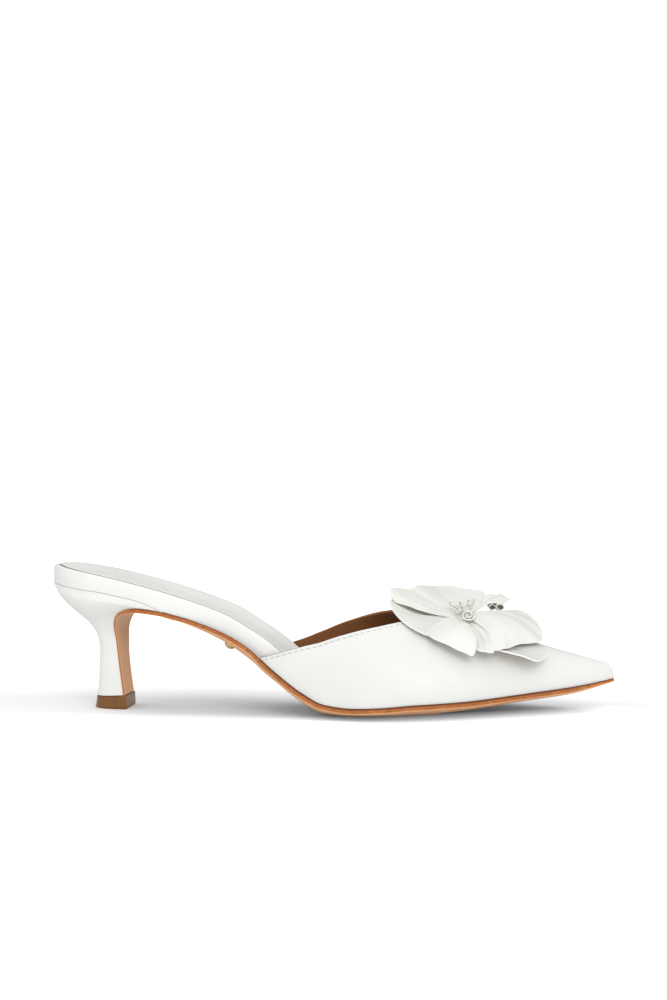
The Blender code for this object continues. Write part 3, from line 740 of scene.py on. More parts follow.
# Each leather: its colour, that colour's tone and the shade that it drifts to, roughness, pebbles
# to a metre (None for the user's own), the grain's depth, and what isn't as usual.
LEATHERS = {
    "white_leather": ("white", 1.0, 0.97, 0.42, None, 0.018, {"specular": 0.35}),
    # The heel and band's cover is a lighter copy of the white leather: painted light, for they show
    # brighter than the vamp.
    "white_cover": ("white", 1.09, 0.97, 0.42, None, 0.016, {"specular": 0.3}),
    "petal_leather": ("flower", 1.0, 0.9, 0.6, None, 0.02, {"swell": 9.0, "specular": 0.08}),
    # The petals' raw cut edge is lighter than their face; part of that lightness is painted
    # highlight on edges that catch the light.
    "petal_edge": ("white", 1.22, 1.1 / 1.22, 0.7, 2400.0, 0.03, {"pores": 1.2, "specular": 0.05}),
    "flesh_side": (
        *("flesh", 1.0, 0.75, 0.85, 2600.0, 0.05),
        {"pores": 1.5, "specular": 0.1, "sheen": 0.2},
    ),
    # A darker copy of the petals' backs: painted shade inside the rolls.
    "dark_flesh": ("flesh", 0.7, 0.7, 0.9, 2600.0, 0.05, {"pores": 1.5, "specular": 0.05}),
    "padded_sock": ("sock", 1.0, 0.93, 0.6, 1500.0, 0.02, {"swell": 5.0, "specular": 0.08}),
    # Dark grey: painted shade of the gap between the rim and the sock.
    "sock_edge": ("sock_edge", 1.0, 0.75, 0.8, 2600.0, 0.02, {"specular": 0.1}),
    "lining_leather": (
        *("lining", 1.0, 0.8, 0.62, 1500.0, 0.02),
        {"streak_tone": 0.2, "specular": 0.1},
    ),
    "cut_edge": (
        *("cut_edge", 1.0, 0.75, 0.7, 2600.0, 0.03),
        {"pores": 1.2, "streak_tone": 0.3, "specular": 0.1},
    ),
    "tan_sole": (
        *("sole", 1.0, 0.88, 0.45, 1900.0, 0.012),
        {
            "streaks": (55.0, 520.0, 30.0),
            "streak_tone": 0.5,
            "streak_shade": 0.8,
            "contrast": 1.4,
            "specular": 0.15,
            "bounce": BOUNCE,
        },
    ),
    "burnished_edge": (
        *("sole_edge", 1.0, 0.8, 0.4, 2600.0, 0.05),
        {
            "pores": 1.5,
            "streaks": EDGE_STREAKS,
            "streak_tone": 0.9,
            "streak_shade": 0.45,
            "contrast": 2.0,
            "specular": 0.12,
            "bounce": BOUNCE,
        },
    ),
    "edge_line": (
        *("edge_line", 1.0, 0.7, 0.5, 2600.0, 0.05),
        {"streaks": EDGE_STREAKS, "specular": 0.1, "bounce": BOUNCE, "raw": True},
    ),
    "waxed_thread": ("white", 1.0, 0.9, 0.5, 5200.0, 0.03, {"streaks": THREAD_STREAKS}),
    "lining_thread": ("lining_thread", 1.0, 0.7, 0.6, 5200.0, 0.03, {"streaks": THREAD_STREAKS}),
    # Painted shade in the needle holes.
    "needle_hole": ("hole", 1.0, 0.7, 0.9, 5200.0, 0.02, {"specular": 0.1}),
}


def leather(name, tone=None):
    """A row's leather, with grain and rubbed streaks. A tone given here also goes into its name."""
    colour, own_tone, shade, roughness, pebbles, depth, own = LEATHERS[name]
    if tone is not None:
        own_tone = tone
        name = f"{name}_{round(100 * tone)}"
    if name in bpy.data.materials:
        return bpy.data.materials[name]
    own = {**USUAL, **own}
    material, tree, shader = new_material(name)
    base = shaded(getattr(colours(), colour), own_tone)
    shade = shaded(base, shade)
    drift, normal = grained(tree, pebbles or sizes().grain, own["pores"], own["swell"], depth)
    streaks = streaked(tree, own["streaks"], own["contrast"])
    face = mixed(tree, ramp(tree, drift, DRIFT_FROM, DRIFT_TO, 0.0, 1.0), base, shade)
    amount = math_node(tree, "MULTIPLY", streaks, own["streak_tone"])
    face = mixed(tree, amount, face, shaded(shade, own["streak_shade"]))
    # Bounced light sees grey here, which paints the floor's shade near this leather grey.
    if own["bounce"]:
        thrown = add(tree, "LightPath").outputs["Is Diffuse Ray"]
        face = mixed(tree, thrown, face, (own["bounce"],) * 3)
    if own["raw"]:
        place = add(tree, "SeparateXYZ", {"Vector": add(tree, "TexCoord").outputs["Object"]})
        start, end = placed([(RAW_TO_X, 0.0, 0.0), (RAW_FROM_X, 0.0, 0.0)])[:, 0]
        share = ramp(tree, place.outputs["X"], start, end, 1.0, 0.0)
        face = mixed(tree, share, face, colours().raw_edge)
    ends = roughness - RUBBED_SMOOTH, roughness + RUBBED_ROUGH
    finish = {
        "Base Color": face,
        "Roughness": ramp(tree, streaks, 0.0, 1.0, *ends),
        "Normal": normal,
        "Specular IOR Level": own["specular"],
        "Sheen Weight": own["sheen"],
        "Sheen Roughness": SHEEN_ROUGHNESS,
    }
    put(tree, shader, finish)
    return material


# Each metallic finish: its colour, its shade, pebbles to a metre, pores and swell, streaks (None
# where the shade drifts instead), roughness from and to, the grain's depth, and the shader's own
# settings.
METALS = {
    "satin_lift": (
        *("lift", 0.3, 2600.0, 0.8, (90.0, 90.0, 40.0), (0.22, 0.42), 0.008),
        {"Metallic": 0.7, "Specular IOR Level": 0.1, "Coat Weight": 0.04, "Coat Roughness": 0.25},
    ),
    "gold_stud": ("stud", 0.7, 3000.0, 0.6, None, (0.12, 0.35), 0.005, {"Metallic": 1.0}),
}


def metal(name):
    """A row's metallic finish, with a fine grain and a little wear."""
    if name in bpy.data.materials:
        return bpy.data.materials[name]
    colour, shade, pebbles, pores, streaks, roughness, depth, own = METALS[name]
    material, tree, shader = new_material(name)
    base = tuple(getattr(colours(), colour))
    drift, normal = grained(tree, pebbles, pores, pores, depth)
    worn = streaked(tree, streaks, 1.0) if streaks else drift
    face = mixed(tree, worn, base, shaded(base, shade))
    rough = ramp(tree, drift, 0.0, 1.0, *roughness)
    put(tree, shader, {"Base Color": face, "Roughness": rough, "Normal": normal, **own})
    return material


# ---------------------------------------------------------------- vamp

VAMP_COLUMNS = 130
VAMP_ROWS = 52
LINE_SAMPLES = 90
COLLAR_ROWS = np.array([0.0, 0.25, 0.5, 0.75, 1.0, 1.2, 1.35, 1.5, 1.7, 2.0, 2.4, 3.0, 3.8, 4.8])
COLLAR_REACH = 9.6
TOP_ROW = 5
LINING_STEP = 1.2
STITCH_START = 0.6
STITCH_END = 0.4
STITCH_AHEAD = 0.3
STITCH_TUCK = 0.15
STITCH_SINK = 0.04
LINING_RISE = 0.02
HOLE_START = 0.1
HOLE_SINK = 0.02
HOLE_HALVES = (0.62, 0.16, 0.10)

# Height and half width of the thread's pull on the collar, its ripple, and the folded edge's bead.
PULL = (0.10, 0.55)
RIPPLE = (0.05, 0.4)
RIPPLE_START = 0.1
BEAD = (0.10, 0.5)
BEAD_BELOW = 0.35


def along_curve(points):
    """The distance along a line of points up to each of them."""
    return np.concatenate([[0.0], np.cumsum(np.linalg.norm(np.diff(points, axis=0), axis=1))])


def sampled(values, gone, wanted):
    """A line's points or directions at the wanted distances, where gone is each one's own."""
    return np.stack([np.interp(wanted, gone, values[:, k]) for k in range(3)], axis=1)


def vamp_line(share, side):
    """One line of the vamp's outer face, from the collar's edge down to the feather edge."""
    foot_x = CORNER_X + (LENGTH - CORNER_X) * math.sin(math.pi / 2 * share**FOOT_CROWD)
    crowded = 1.0 - (1.0 - share) ** COLLAR_CROWD
    collar_x = CORNER_X + (THROAT_X - CORNER_X) * math.sin(math.pi / 2 * crowded)
    foot = np.array([foot_x, side * float(half_width(foot_x, side))])
    collar = collar_point(collar_x, side)
    part = 1.0 - np.cos(np.linspace(math.pi / 2, 0.0, LINE_SAMPLES))
    xy = foot + (collar - foot) * part[:, None]
    x = xy[:, 0]
    width = half_width(x, side)
    y = side * np.minimum(np.abs(xy[:, 1]), width)
    z = last_height(x, y)
    low = np.maximum(1.0 - (z - SEAM(x)) / (TUCK_SHARE * (LAST_TOP(x) - SEAM(x))), 0.0)
    tuck = FEATHER_INSET * low * low * np.minimum(width / TUCK_WIDTH, 1.0)
    return np.stack([x - tuck * blend(x, LENGTH - TUCK_TOE, LENGTH), y - side * tuck, z], axis=1)


def vamp_grid():
    """The vamp's outer face: columns round the foot, with rows crowded under the collar's edge."""
    lines = []
    for number in range(-VAMP_COLUMNS, VAMP_COLUMNS + 1):
        side = -1 if number < 0 else 1
        line = vamp_line(1.0 - abs(number) / VAMP_COLUMNS, side)
        gone = along_curve(line)
        near = COLLAR_ROWS * min(1.0, gone[-1] / COLLAR_REACH)
        rest = near[-1] + (gone[-1] - near[-1]) * np.linspace(0.0, 1.0, VAMP_ROWS + 1)[1:]
        lines.append(sampled(line, gone, np.concatenate([near, rest])))
    return np.array(lines)


# Soft troughs (below 0) and ridges in the vamp: x, y, half length, half width, depth and azimuth.
FOLDS = (
    (166.0, -27.5, 4.0, 0.45, -0.22, 100.0),
    (168.0, -27.8, 5.0, 0.45, -0.25, 98.0),
    (170.2, -28.2, 4.5, 0.5, -0.20, 96.0),
    (172.6, -28.4, 3.6, 0.5, -0.15, 94.0),
    (124.0, -31.0, 16.0, 5.0, -0.35, 28.0),
    (133.0, -30.0, 18.0, 5.5, 0.30, 35.0),
    (214.0, -12.0, 16.0, 4.0, -0.25, -25.0),
    (206.0, 14.0, 18.0, 4.5, -0.25, 25.0),
    (128.0, 22.0, 15.0, 5.0, -0.30, -28.0),
    (150.0, -37.0, 22.0, 4.0, 0.15, 8.0),
)


def folds(x, y):
    """The height of the vamp's soft creases at points of the plan."""
    height = np.zeros_like(x)
    for at_x, at_y, long, wide, depth, azimuth in FOLDS:
        turn = math.radians(azimuth)
        along = (x - at_x) * math.cos(turn) + (y - at_y) * math.sin(turn)
        across = (y - at_y) * math.cos(turn) - (x - at_x) * math.sin(turn)
        height = height + depth * hump(along, long) * hump(across, wide)
    return height


def vamp_faces():
    """The vamp's outer and inner grids, and the unit normals that point into the shoe."""
    outer = vamp_grid()
    inwards = grid_normals(outer)
    if inwards[len(outer) // 2, TOP_ROW, 2] > 0:
        inwards = -inwards
    inner = outer + WALL * inwards
    for i in range(len(outer)):
        floor = sole_top(inner[i, -1, 0], inner[i, -1, 1])
        inner[i, -1, 2] = max(floor, outer[i, -1, 2] - LINING_STEP) + UNDER_GAP
    outer = outer - inwards * folds(outer[..., 0], outer[..., 1])[..., None]
    return outer, inner, inwards


def collar_line(grid, normals, inset):
    """A line that runs round the collar this far below its edge, with its normals."""
    count = len(COLLAR_ROWS)
    points = []
    ups = []
    for line, ways in zip(grid, normals):
        at = np.interp(inset, along_curve(line[:count]), np.arange(count))
        low = int(at)
        part = at - low
        points.append(line[low] * (1 - part) + line[min(low + 1, count - 1)] * part)
        ups.append(ways[low])
    return np.array(points), np.array(ups)


def stitch_places(line, ups, pitch, start):
    """Stitch middles, directions and normals at each pitch along a line."""
    gone = along_curve(line)
    marks = np.arange(start * pitch, gone[-1] - STITCH_END * pitch, pitch)
    middles = sampled(line, gone, marks)
    after = sampled(line, gone, marks + STITCH_AHEAD)
    return middles, unit(after - middles), unit(sampled(ups, gone, marks))


class PUMP_OT_vamp(bpy.types.Operator):
    """Makes the open-backed vamp with its lining and cut edges"""

    bl_idname = "pump.vamp"
    bl_label = "Vamp"

    def execute(self, context):
        outer, inner, inwards = vamp_faces()
        inset = in_mm("stitch_inset")
        line, _ = collar_line(outer, inwards, inset)
        phase = 2 * math.pi * (along_curve(line) / in_mm("stitch_pitch") - RIPPLE_START)
        below = np.stack([along_curve(row) for row in outer])
        ripple = RIPPLE[0] * hump(below - inset, RIPPLE[1]) * np.cos(phase)[:, None]
        pull = PULL[0] * hump(below - inset, PULL[1]) + ripple
        bead = BEAD[0] * hump(below - BEAD_BELOW, BEAD[1])
        outer = outer + inwards * (pull - bead)[..., None]
        look = (0, 1, 2, 2, 2, 2, 1, 1)
        points, faces, groups = wall_mesh(outer, inner, look, steps=6, bulge=0.18, square=0.8)
        finishes = [leather("white_leather"), leather("lining_leather"), leather("cut_edge")]
        make_piece("vamp", points, faces, finishes, groups, "vamp_leather", "upper")
        return {"FINISHED"}


class PUMP_OT_stitching(bpy.types.Operator):
    """Makes the stitches and needle holes round the collar, outside and in the lining"""

    bl_idname = "pump.stitching"
    bl_label = "Stitching"

    # Makes the stitches round the collar, outside and in the lining, and the needle holes as dark
    # beads of painted shade
    def execute(self, context):
        outer, inner, inwards = vamp_faces()
        pitch = in_mm("stitch_pitch")
        thread = in_mm("thread")
        outside, ups = collar_line(outer, inwards, in_mm("stitch_inset"))
        inside, in_ups = collar_line(inner, inwards, in_mm("stitch_inset"))
        stitch = ((pitch - in_mm("stitch_gap")) / 2 + STITCH_TUCK, thread / 2, thread / 2)
        runs = (
            ("collar_stitches", outside, -ups, STITCH_START, -STITCH_SINK, stitch, "waxed_thread"),
            # The needle holes: dark beads of painted shade.
            ("needle_holes", outside, -ups, HOLE_START, -HOLE_SINK, HOLE_HALVES, "needle_hole"),
            ("lining_stitches", inside, in_ups, STITCH_START, LINING_RISE, stitch, "lining_thread"),
        )
        for name, line, out, start, rise, halves, finish in runs:
            middles, along, ways = stitch_places(line, out, pitch, start)
            points, faces = bead_mesh(middles + rise * ways, along, ways, halves)
            make_piece(name, points, faces, [leather(finish)], None, "vamp_leather")
        return {"FINISHED"}


# ---------------------------------------------------------------- footbed and sock

# The footbed's lower edge: how far in, and how far above the sole.
FOOT_STEPS = ((0.25, 0.0), (0.06, 0.05), (0.0, 0.22))
FOOT_CLEAR = 0.12

# The band's rounded edge: how far in, how far below its face, and how much more at the very back.
RIM_STEPS = (
    (0.0, 3.6, 0.0),
    (0.0, 2.2, 0.3),
    (0.03, 1.3, 0.7),
    (0.1, 0.75, 0.75),
    (0.24, 0.4, 0.7),
    (0.45, 0.16, 0.5),
    (0.75, 0.03, 0.25),
    (1.1, 0.0, 0.1),
    (1.4, 0.04, 0.0),
    (1.62, 0.25, 0.0),
)
BACK_ROUND_X = 4.0
FOOT_ACROSS = 10


class PUMP_OT_footbed(bpy.types.Operator):
    """Makes the covered footbed with its rounded band"""

    bl_idname = "pump.footbed"
    bl_label = "Footbed"

    def execute(self, context):
        def underside(x, y):
            return sole_top(x, y) + FOOT_CLEAR

        def recess(x, y):
            return footbed_top(x, y) - RECESS

        def back(x):
            return hump(x - BACK_INSET, BACK_ROUND_X)

        layers = [layer(inset, lambda x, y: underside(x, y) + lift) for inset, lift in FOOT_STEPS]
        for inset, drop, more in RIM_STEPS:
            layers.append(layer(inset, lambda x, y: footbed_top(x, y) - drop - more * back(x)))
        layers.append(layer(RIM_WIDTH, recess))
        points, faces, _ = stack_mesh(layers, FOOT_ACROSS, underside, recess)
        finishes = [leather("white_cover")]
        make_piece("footbed_cover", points, faces, finishes, None, "cover_leather", "footbed")
        return {"FINISHED"}


# The sock's cut edge stands a little proud of the rim. Each step: how far in, and how far down.
SOCK_EDGE = ((0.0, 0.6), (0.02, 0.3), (0.08, 0.1), (0.25, 0.0), (0.8, 0.0), (1.8, 0.0), (3.4, 0.0))
SOCK_EDGE_TOP = 3
SOCK_PROUD = 0.28
SOCK_INSET = RIM_WIDTH + 0.1
SOCK_CLEAR = 0.05
SOCK_ACROSS = 24
SOCK_SWELL = 2.2

# The sock's hollows under the arch: height, length along the shoe, slant, place and half width.
WAVE_HEIGHT = 0.12
WAVE_LONG = 9.0
WAVE_SLANT = 0.05
WAVE_X = 78.0
WAVE_WIDE = 26.0


class PUMP_OT_sock(bpy.types.Operator):
    """Makes the padded sock in the footbed's recess"""

    bl_idname = "pump.sock"
    bl_label = "Sock"

    def execute(self, context):
        rise = in_mm("sock_rise")

        def underside(x, y):
            return footbed_top(x, y) - RECESS + SOCK_CLEAR

        def face(x, y):
            beside = half_width(x, y, footbed_inset(x) + SOCK_INSET) - np.abs(y)
            edge = np.minimum(beside, x - BACK_INSET - BACK_CROWD * SOCK_INSET)
            swell = 1.0 - np.exp(-np.maximum(edge, 0.0) / SOCK_SWELL)
            wave = WAVE_HEIGHT * np.sin(x / WAVE_LONG + WAVE_SLANT * y)
            wave = wave * hump(x - WAVE_X, WAVE_WIDE)
            return footbed_top(x, y) + SOCK_PROUD + (rise + wave) * swell

        layers = [layer(SOCK_INSET, underside)]
        for extra, drop in SOCK_EDGE:
            layers.append(layer(SOCK_INSET + extra, lambda x, y: face(x, y) - drop))
        points, faces, groups = stack_mesh(layers, SOCK_ACROSS, underside, face)
        # The edge's wall is dark grey: painted shade of the thin gap between the rim and the sock.
        groups = [1 if 0 < group < SOCK_EDGE_TOP else 0 for group in groups]
        finishes = [leather("padded_sock"), leather("sock_edge")]
        sock = make_piece("sock", points, faces, finishes, groups, "sock_leather", "insole_sock")
        return {"FINISHED"}


# ---------------------------------------------------------------- sole and heel

SOLE_STATIONS = 150
SOLE_ACROSS = 44
SOLE_FULL = 0.999
THIN_PAST_TOE = 4.0
BREAST_ROWS = 60
BREAST_CLEAR = 0.05
SMOOTH_REACH = 3
HEEL_ROWS = 88
RING_BACK = 36
RING_BREAST = 12
RING_ACROSS = 12

# The heel's foot: how far each ring shrinks and rises. Its seat: how far each ring drops and grows.
HEEL_FOOT = ((0.35, 0.0), (0.1, 0.04), (0.0, 0.25))
HEEL_SEAT = ((0.25, 0.0), (0.07, -0.02), (0.02, -0.2))
SEAT_DROP = 0.02


def natural(values, at):
    """A natural cubic curve through evenly spaced values, at these places counted from 0."""
    count = len(values)
    bend = np.zeros_like(values)
    inner = count - 2
    system = 4.0 * np.eye(inner) + np.eye(inner, k=1) + np.eye(inner, k=-1)
    pull = 6.0 * (values[2:] - 2.0 * values[1:-1] + values[:-2])
    bend[1:-1] = np.linalg.solve(system, pull.reshape(inner, -1)).reshape(pull.shape)
    low = np.clip(at.astype(int), 0, inner)
    after = (at - low).reshape(-1, *[1] * (values.ndim - 1))
    before = 1.0 - after
    curved = (before**3 - before) * bend[low] + (after**3 - after) * bend[low + 1]
    return before * values[low] + after * values[low + 1] + curved / 6.0


def smooth_levels(levels, count):
    """A table of levels as a smooth run of count + 1 rows."""
    table = np.array(levels)
    return natural(table, np.linspace(0.0, len(table) - 1.0, count + 1))


def path_normals(path):
    """The smoothed directions out of the sole along a path from the toe to the heel's foot."""
    heading = unit(np.gradient(np.asarray(path, float), axis=0))
    padded = np.pad(heading, ((SMOOTH_REACH, SMOOTH_REACH), (0, 0)), mode="edge")
    heading = unit(sum(padded[k : k + len(heading)] for k in range(2 * SMOOTH_REACH + 1)))
    return np.stack([-heading[:, 1], heading[:, 0]], axis=1)


def sole_rows():
    """The sole's rows from the toe back along the seam and down the heel's breast."""
    tip = LENGTH - SOLE_TIP
    seam_end = HEEL[-1][2] + SEAT_RUN
    rows = []
    for i in range(SOLE_STATIONS + 1):
        along = (1.0 - math.cos(math.pi / 2 * i / SOLE_STATIONS)) ** SOLE_CROWD
        x = tip - (tip - seam_end) * along
        lateral, medial = (float(half_width(x, side, SOLE_INSET, LENGTH)) for side in (-1, 1))
        thinned = float(blend(x, SOLE_THIN_X, LENGTH + THIN_PAST_TOE))
        thick = SOLE_THICK + (SOLE_TOE_THICK - SOLE_THICK) * thinned
        rows.append((x, float(SEAM(x)), lateral, medial, thick, float(CROWN(x))))
    breast = smooth_levels(HEEL, BREAST_ROWS)[::-1]
    for level, out in zip(breast, path_normals(breast[:, 2:4])):
        x, z, width = level[2:5]
        thick = FLAP_THICK + (SOLE_THICK - FLAP_THICK) * float(blend(x, FLAP_FROM_X, FLAP_TO_X))
        medial = min(width, float(half_width(x, 1)) + SEAT_GROW)
        place = (x + BREAST_CLEAR * out[0], z + BREAST_CLEAR * out[1])
        rows.append((*place, width, medial, thick, 0.0))
    return rows


class PUMP_OT_sole(bpy.types.Operator):
    """Makes the leather sole, with its burnished edge and the flap down the heel's breast"""

    bl_idname = "pump.sole"
    bl_label = "Sole"

    def execute(self, context):
        rows = sole_rows()
        ways = path_normals([row[:2] for row in rows])
        share = np.sin(np.linspace(-math.pi / 2, math.pi / 2, SOLE_ACROSS + 1) * SOLE_FULL)
        upper_face = []
        lower_face = []
        for (x, z, lateral, medial, thick, crown), out in zip(rows, ways):
            y = share * np.where(share < 0, lateral, medial)
            least = SOLE_LEAST if crown else z
            top = np.maximum(z - crown * (1.0 - np.abs(share) ** CROWN_POWER), least)
            upper_face.append(np.stack([np.full_like(y, x), y, top], axis=1))
            low_z = np.maximum(top + thick * out[1], 0.0)
            lower_face.append(np.stack([np.full_like(y, x + thick * out[0]), y, low_z], axis=1))
        look = (1, 0, 2, 2, 2, 1, 1, 0, 0)
        sheets = np.array(upper_face), np.array(lower_face)
        points, faces, groups = wall_mesh(*sheets, look, steps=7, bulge=0.22, square=0.55)
        finishes = [leather("tan_sole"), leather("burnished_edge"), leather("edge_line")]
        make_piece("sole", points, faces, finishes, groups, "sole_leather", "outsole")
        return {"FINISHED"}


def heel_ring(level, roundness):
    """A ring round the heel, flat at the breast and round behind: point i faces point -i."""
    back_x, back_z, breast_x, breast_z, width = level
    half = [(0.0, width * i / RING_BREAST) for i in range(RING_BREAST)]
    for i in range(RING_BACK + 1):
        share = math.sin(math.pi / 2 * i / RING_BACK)
        half.append((share, width * math.sqrt(max(1.0 - share**roundness, 0.0))))
    deep, high = back_x - breast_x, back_z - breast_z
    lateral = [(breast_x + deep * s, -y, breast_z + high * s) for s, y in half]
    medial = [(x, min(-y, float(half_width(x, 1)) + SEAT_GROW), z) for x, y, z in lateral[1:-1]]
    return lateral + medial[::-1]


class PUMP_OT_heel(bpy.types.Operator):
    """Makes the covered heel"""

    bl_idname = "pump.heel"
    bl_label = "Heel"

    def execute(self, context):
        levels = smooth_levels(HEEL, HEEL_ROWS)
        foot = levels[0].copy()

        def base(x, y):
            return foot[3] + (foot[1] - foot[3]) * (x - foot[2]) / (foot[0] - foot[2])

        rings = []
        for shrink, lift in HEEL_FOOT:
            level = foot + np.array([shrink, lift, -shrink, lift, -shrink])
            rings.append(heel_ring(level, POST_ROUND))
        for number, level in enumerate(levels[1:], 1):
            share = number / (len(levels) - 1)
            rings.append(heel_ring(level, POST_ROUND + (SEAT_ROUND - POST_ROUND) * share))
        breast_x, _, half = HEEL[-1][2:]
        for drop, grow in HEEL_SEAT:
            back = SEAT_BACK + SEAT_GROW - grow
            seat = heel_ring((back, 0.0, breast_x, 0.0, half + SEAT_GROW + grow), SEAT_ROUND)
            rings.append([(x, y, float(sole_top(x, y)) - drop) for x, y, _ in seat])

        def seat_face(x, y):
            return float(sole_top(x, y)) - SEAT_DROP

        points, faces, _ = stack_mesh(rings, RING_ACROSS, base, seat_face)
        finishes = [leather("white_cover")]
        make_piece("heel_cover", points, faces, finishes, None, "cover_leather", "heel")
        return {"FINISHED"}


# The top piece's rings: the share of its height, and how far each shrinks.
LIFT_RINGS = (
    (0.0, 0.28),
    (0.01, 0.08),
    *((share, 0.0) for share in (0.03, 0.08, 0.2, 0.35, 0.54, 0.73, 0.89, 0.975)),
    (1.0, 0.08),
    (1.01, 0.3),
)
LIFT_WAIST = 0.12


class PUMP_OT_top_piece(bpy.types.Operator):
    """Makes the top piece under the heel"""

    bl_idname = "pump.top_piece"
    bl_label = "Top piece"

    def execute(self, context):
        table = np.array(TOP_PIECE)
        rings = []
        for share, shrink in LIFT_RINGS:
            heights = table[:, 3] / table[-1, 3]
            level = np.array([np.interp(share, heights, values) for values in table.T])
            waist = LIFT_WAIST * math.sin(math.pi * min(share, 1.0))
            level += np.array([shrink + waist, 0.0, -shrink, 0.0, -shrink - waist])
            level[[1, 3]] = share * table[-1, [1, 3]]
            rings.append(heel_ring(level, POST_ROUND))
        back_x, back_z, breast_x, breast_z = table[-1, :4]

        def top(x, y):
            slope = (back_z - breast_z) * (x - breast_x) / (back_x - breast_x)
            return LIFT_RINGS[-1][0] * (breast_z + slope)

        points, faces, _ = stack_mesh(rings, RING_ACROSS, lambda x, y: 0.0, top)
        make_piece("lift", points, faces, [metal("satin_lift")], None, "lift", "top_piece")
        return {"FINISHED"}


# A plain stud under the shank. Its rings are shares of its radius and of how proud it stands.
STUD_X = 86.0
STUD_Y = -7.0
STUD_RADIUS = 2.5
STUD_PROUD = 2.2
STUD_GAP = 0.5
STUD_RINGS = (
    (1.0, -0.35),
    (1.0, 0.42),
    (0.97, 0.55),
    (0.9, 0.63),
    (0.84, 0.6),
    (0.78, 0.68),
    (0.62, 0.86),
    (0.42, 0.96),
    (0.2, 1.0),
    (0.05, 1.0),
)


class PUMP_OT_stud(bpy.types.Operator):
    """Makes the plain stud under the shank"""

    bl_idname = "pump.stud"
    bl_label = "Shank stud"

    def execute(self, context):
        along = float(sole_top(STUD_X + 1.0, STUD_Y) - sole_top(STUD_X - 1.0, STUD_Y))
        across = float(sole_top(STUD_X, STUD_Y + 1.0) - sole_top(STUD_X, STUD_Y - 1.0))
        out = unit(np.array([along / 2.0, across / 2.0, -1.0]))
        beside = unit(np.cross(out, (1.0, 0.0, 0.0)))
        run = np.cross(beside, out)
        seat = np.array([STUD_X, STUD_Y, float(sole_top(STUD_X, STUD_Y))])
        middle = seat + (SOLE_THICK + STUD_GAP) * out

        def place(share, height, turn):
            aside = STUD_RADIUS * share * (math.cos(turn) * run + math.sin(turn) * beside)
            return middle + aside + STUD_PROUD * height * out

        points, faces = turned_mesh(STUD_RINGS, place)
        make_piece("stud", points, faces, [metal("gold_stud")], None, "stud", "shank_stud")
        return {"FINISHED"}


# ---------------------------------------------------------------- flower

FLOWER_X = 192.0
FLOWER_Y = -3.0
PETAL_THICK = 0.7
PETAL_ROWS = 40
PETAL_COLUMNS = 64
PETAL_CROWD = 0.85
PETAL_BULGE = 0.16
PETAL_CORNERS = (7, 40)
PETAL_NICK = 0.006
PETAL_CRUMPLE = 0.16

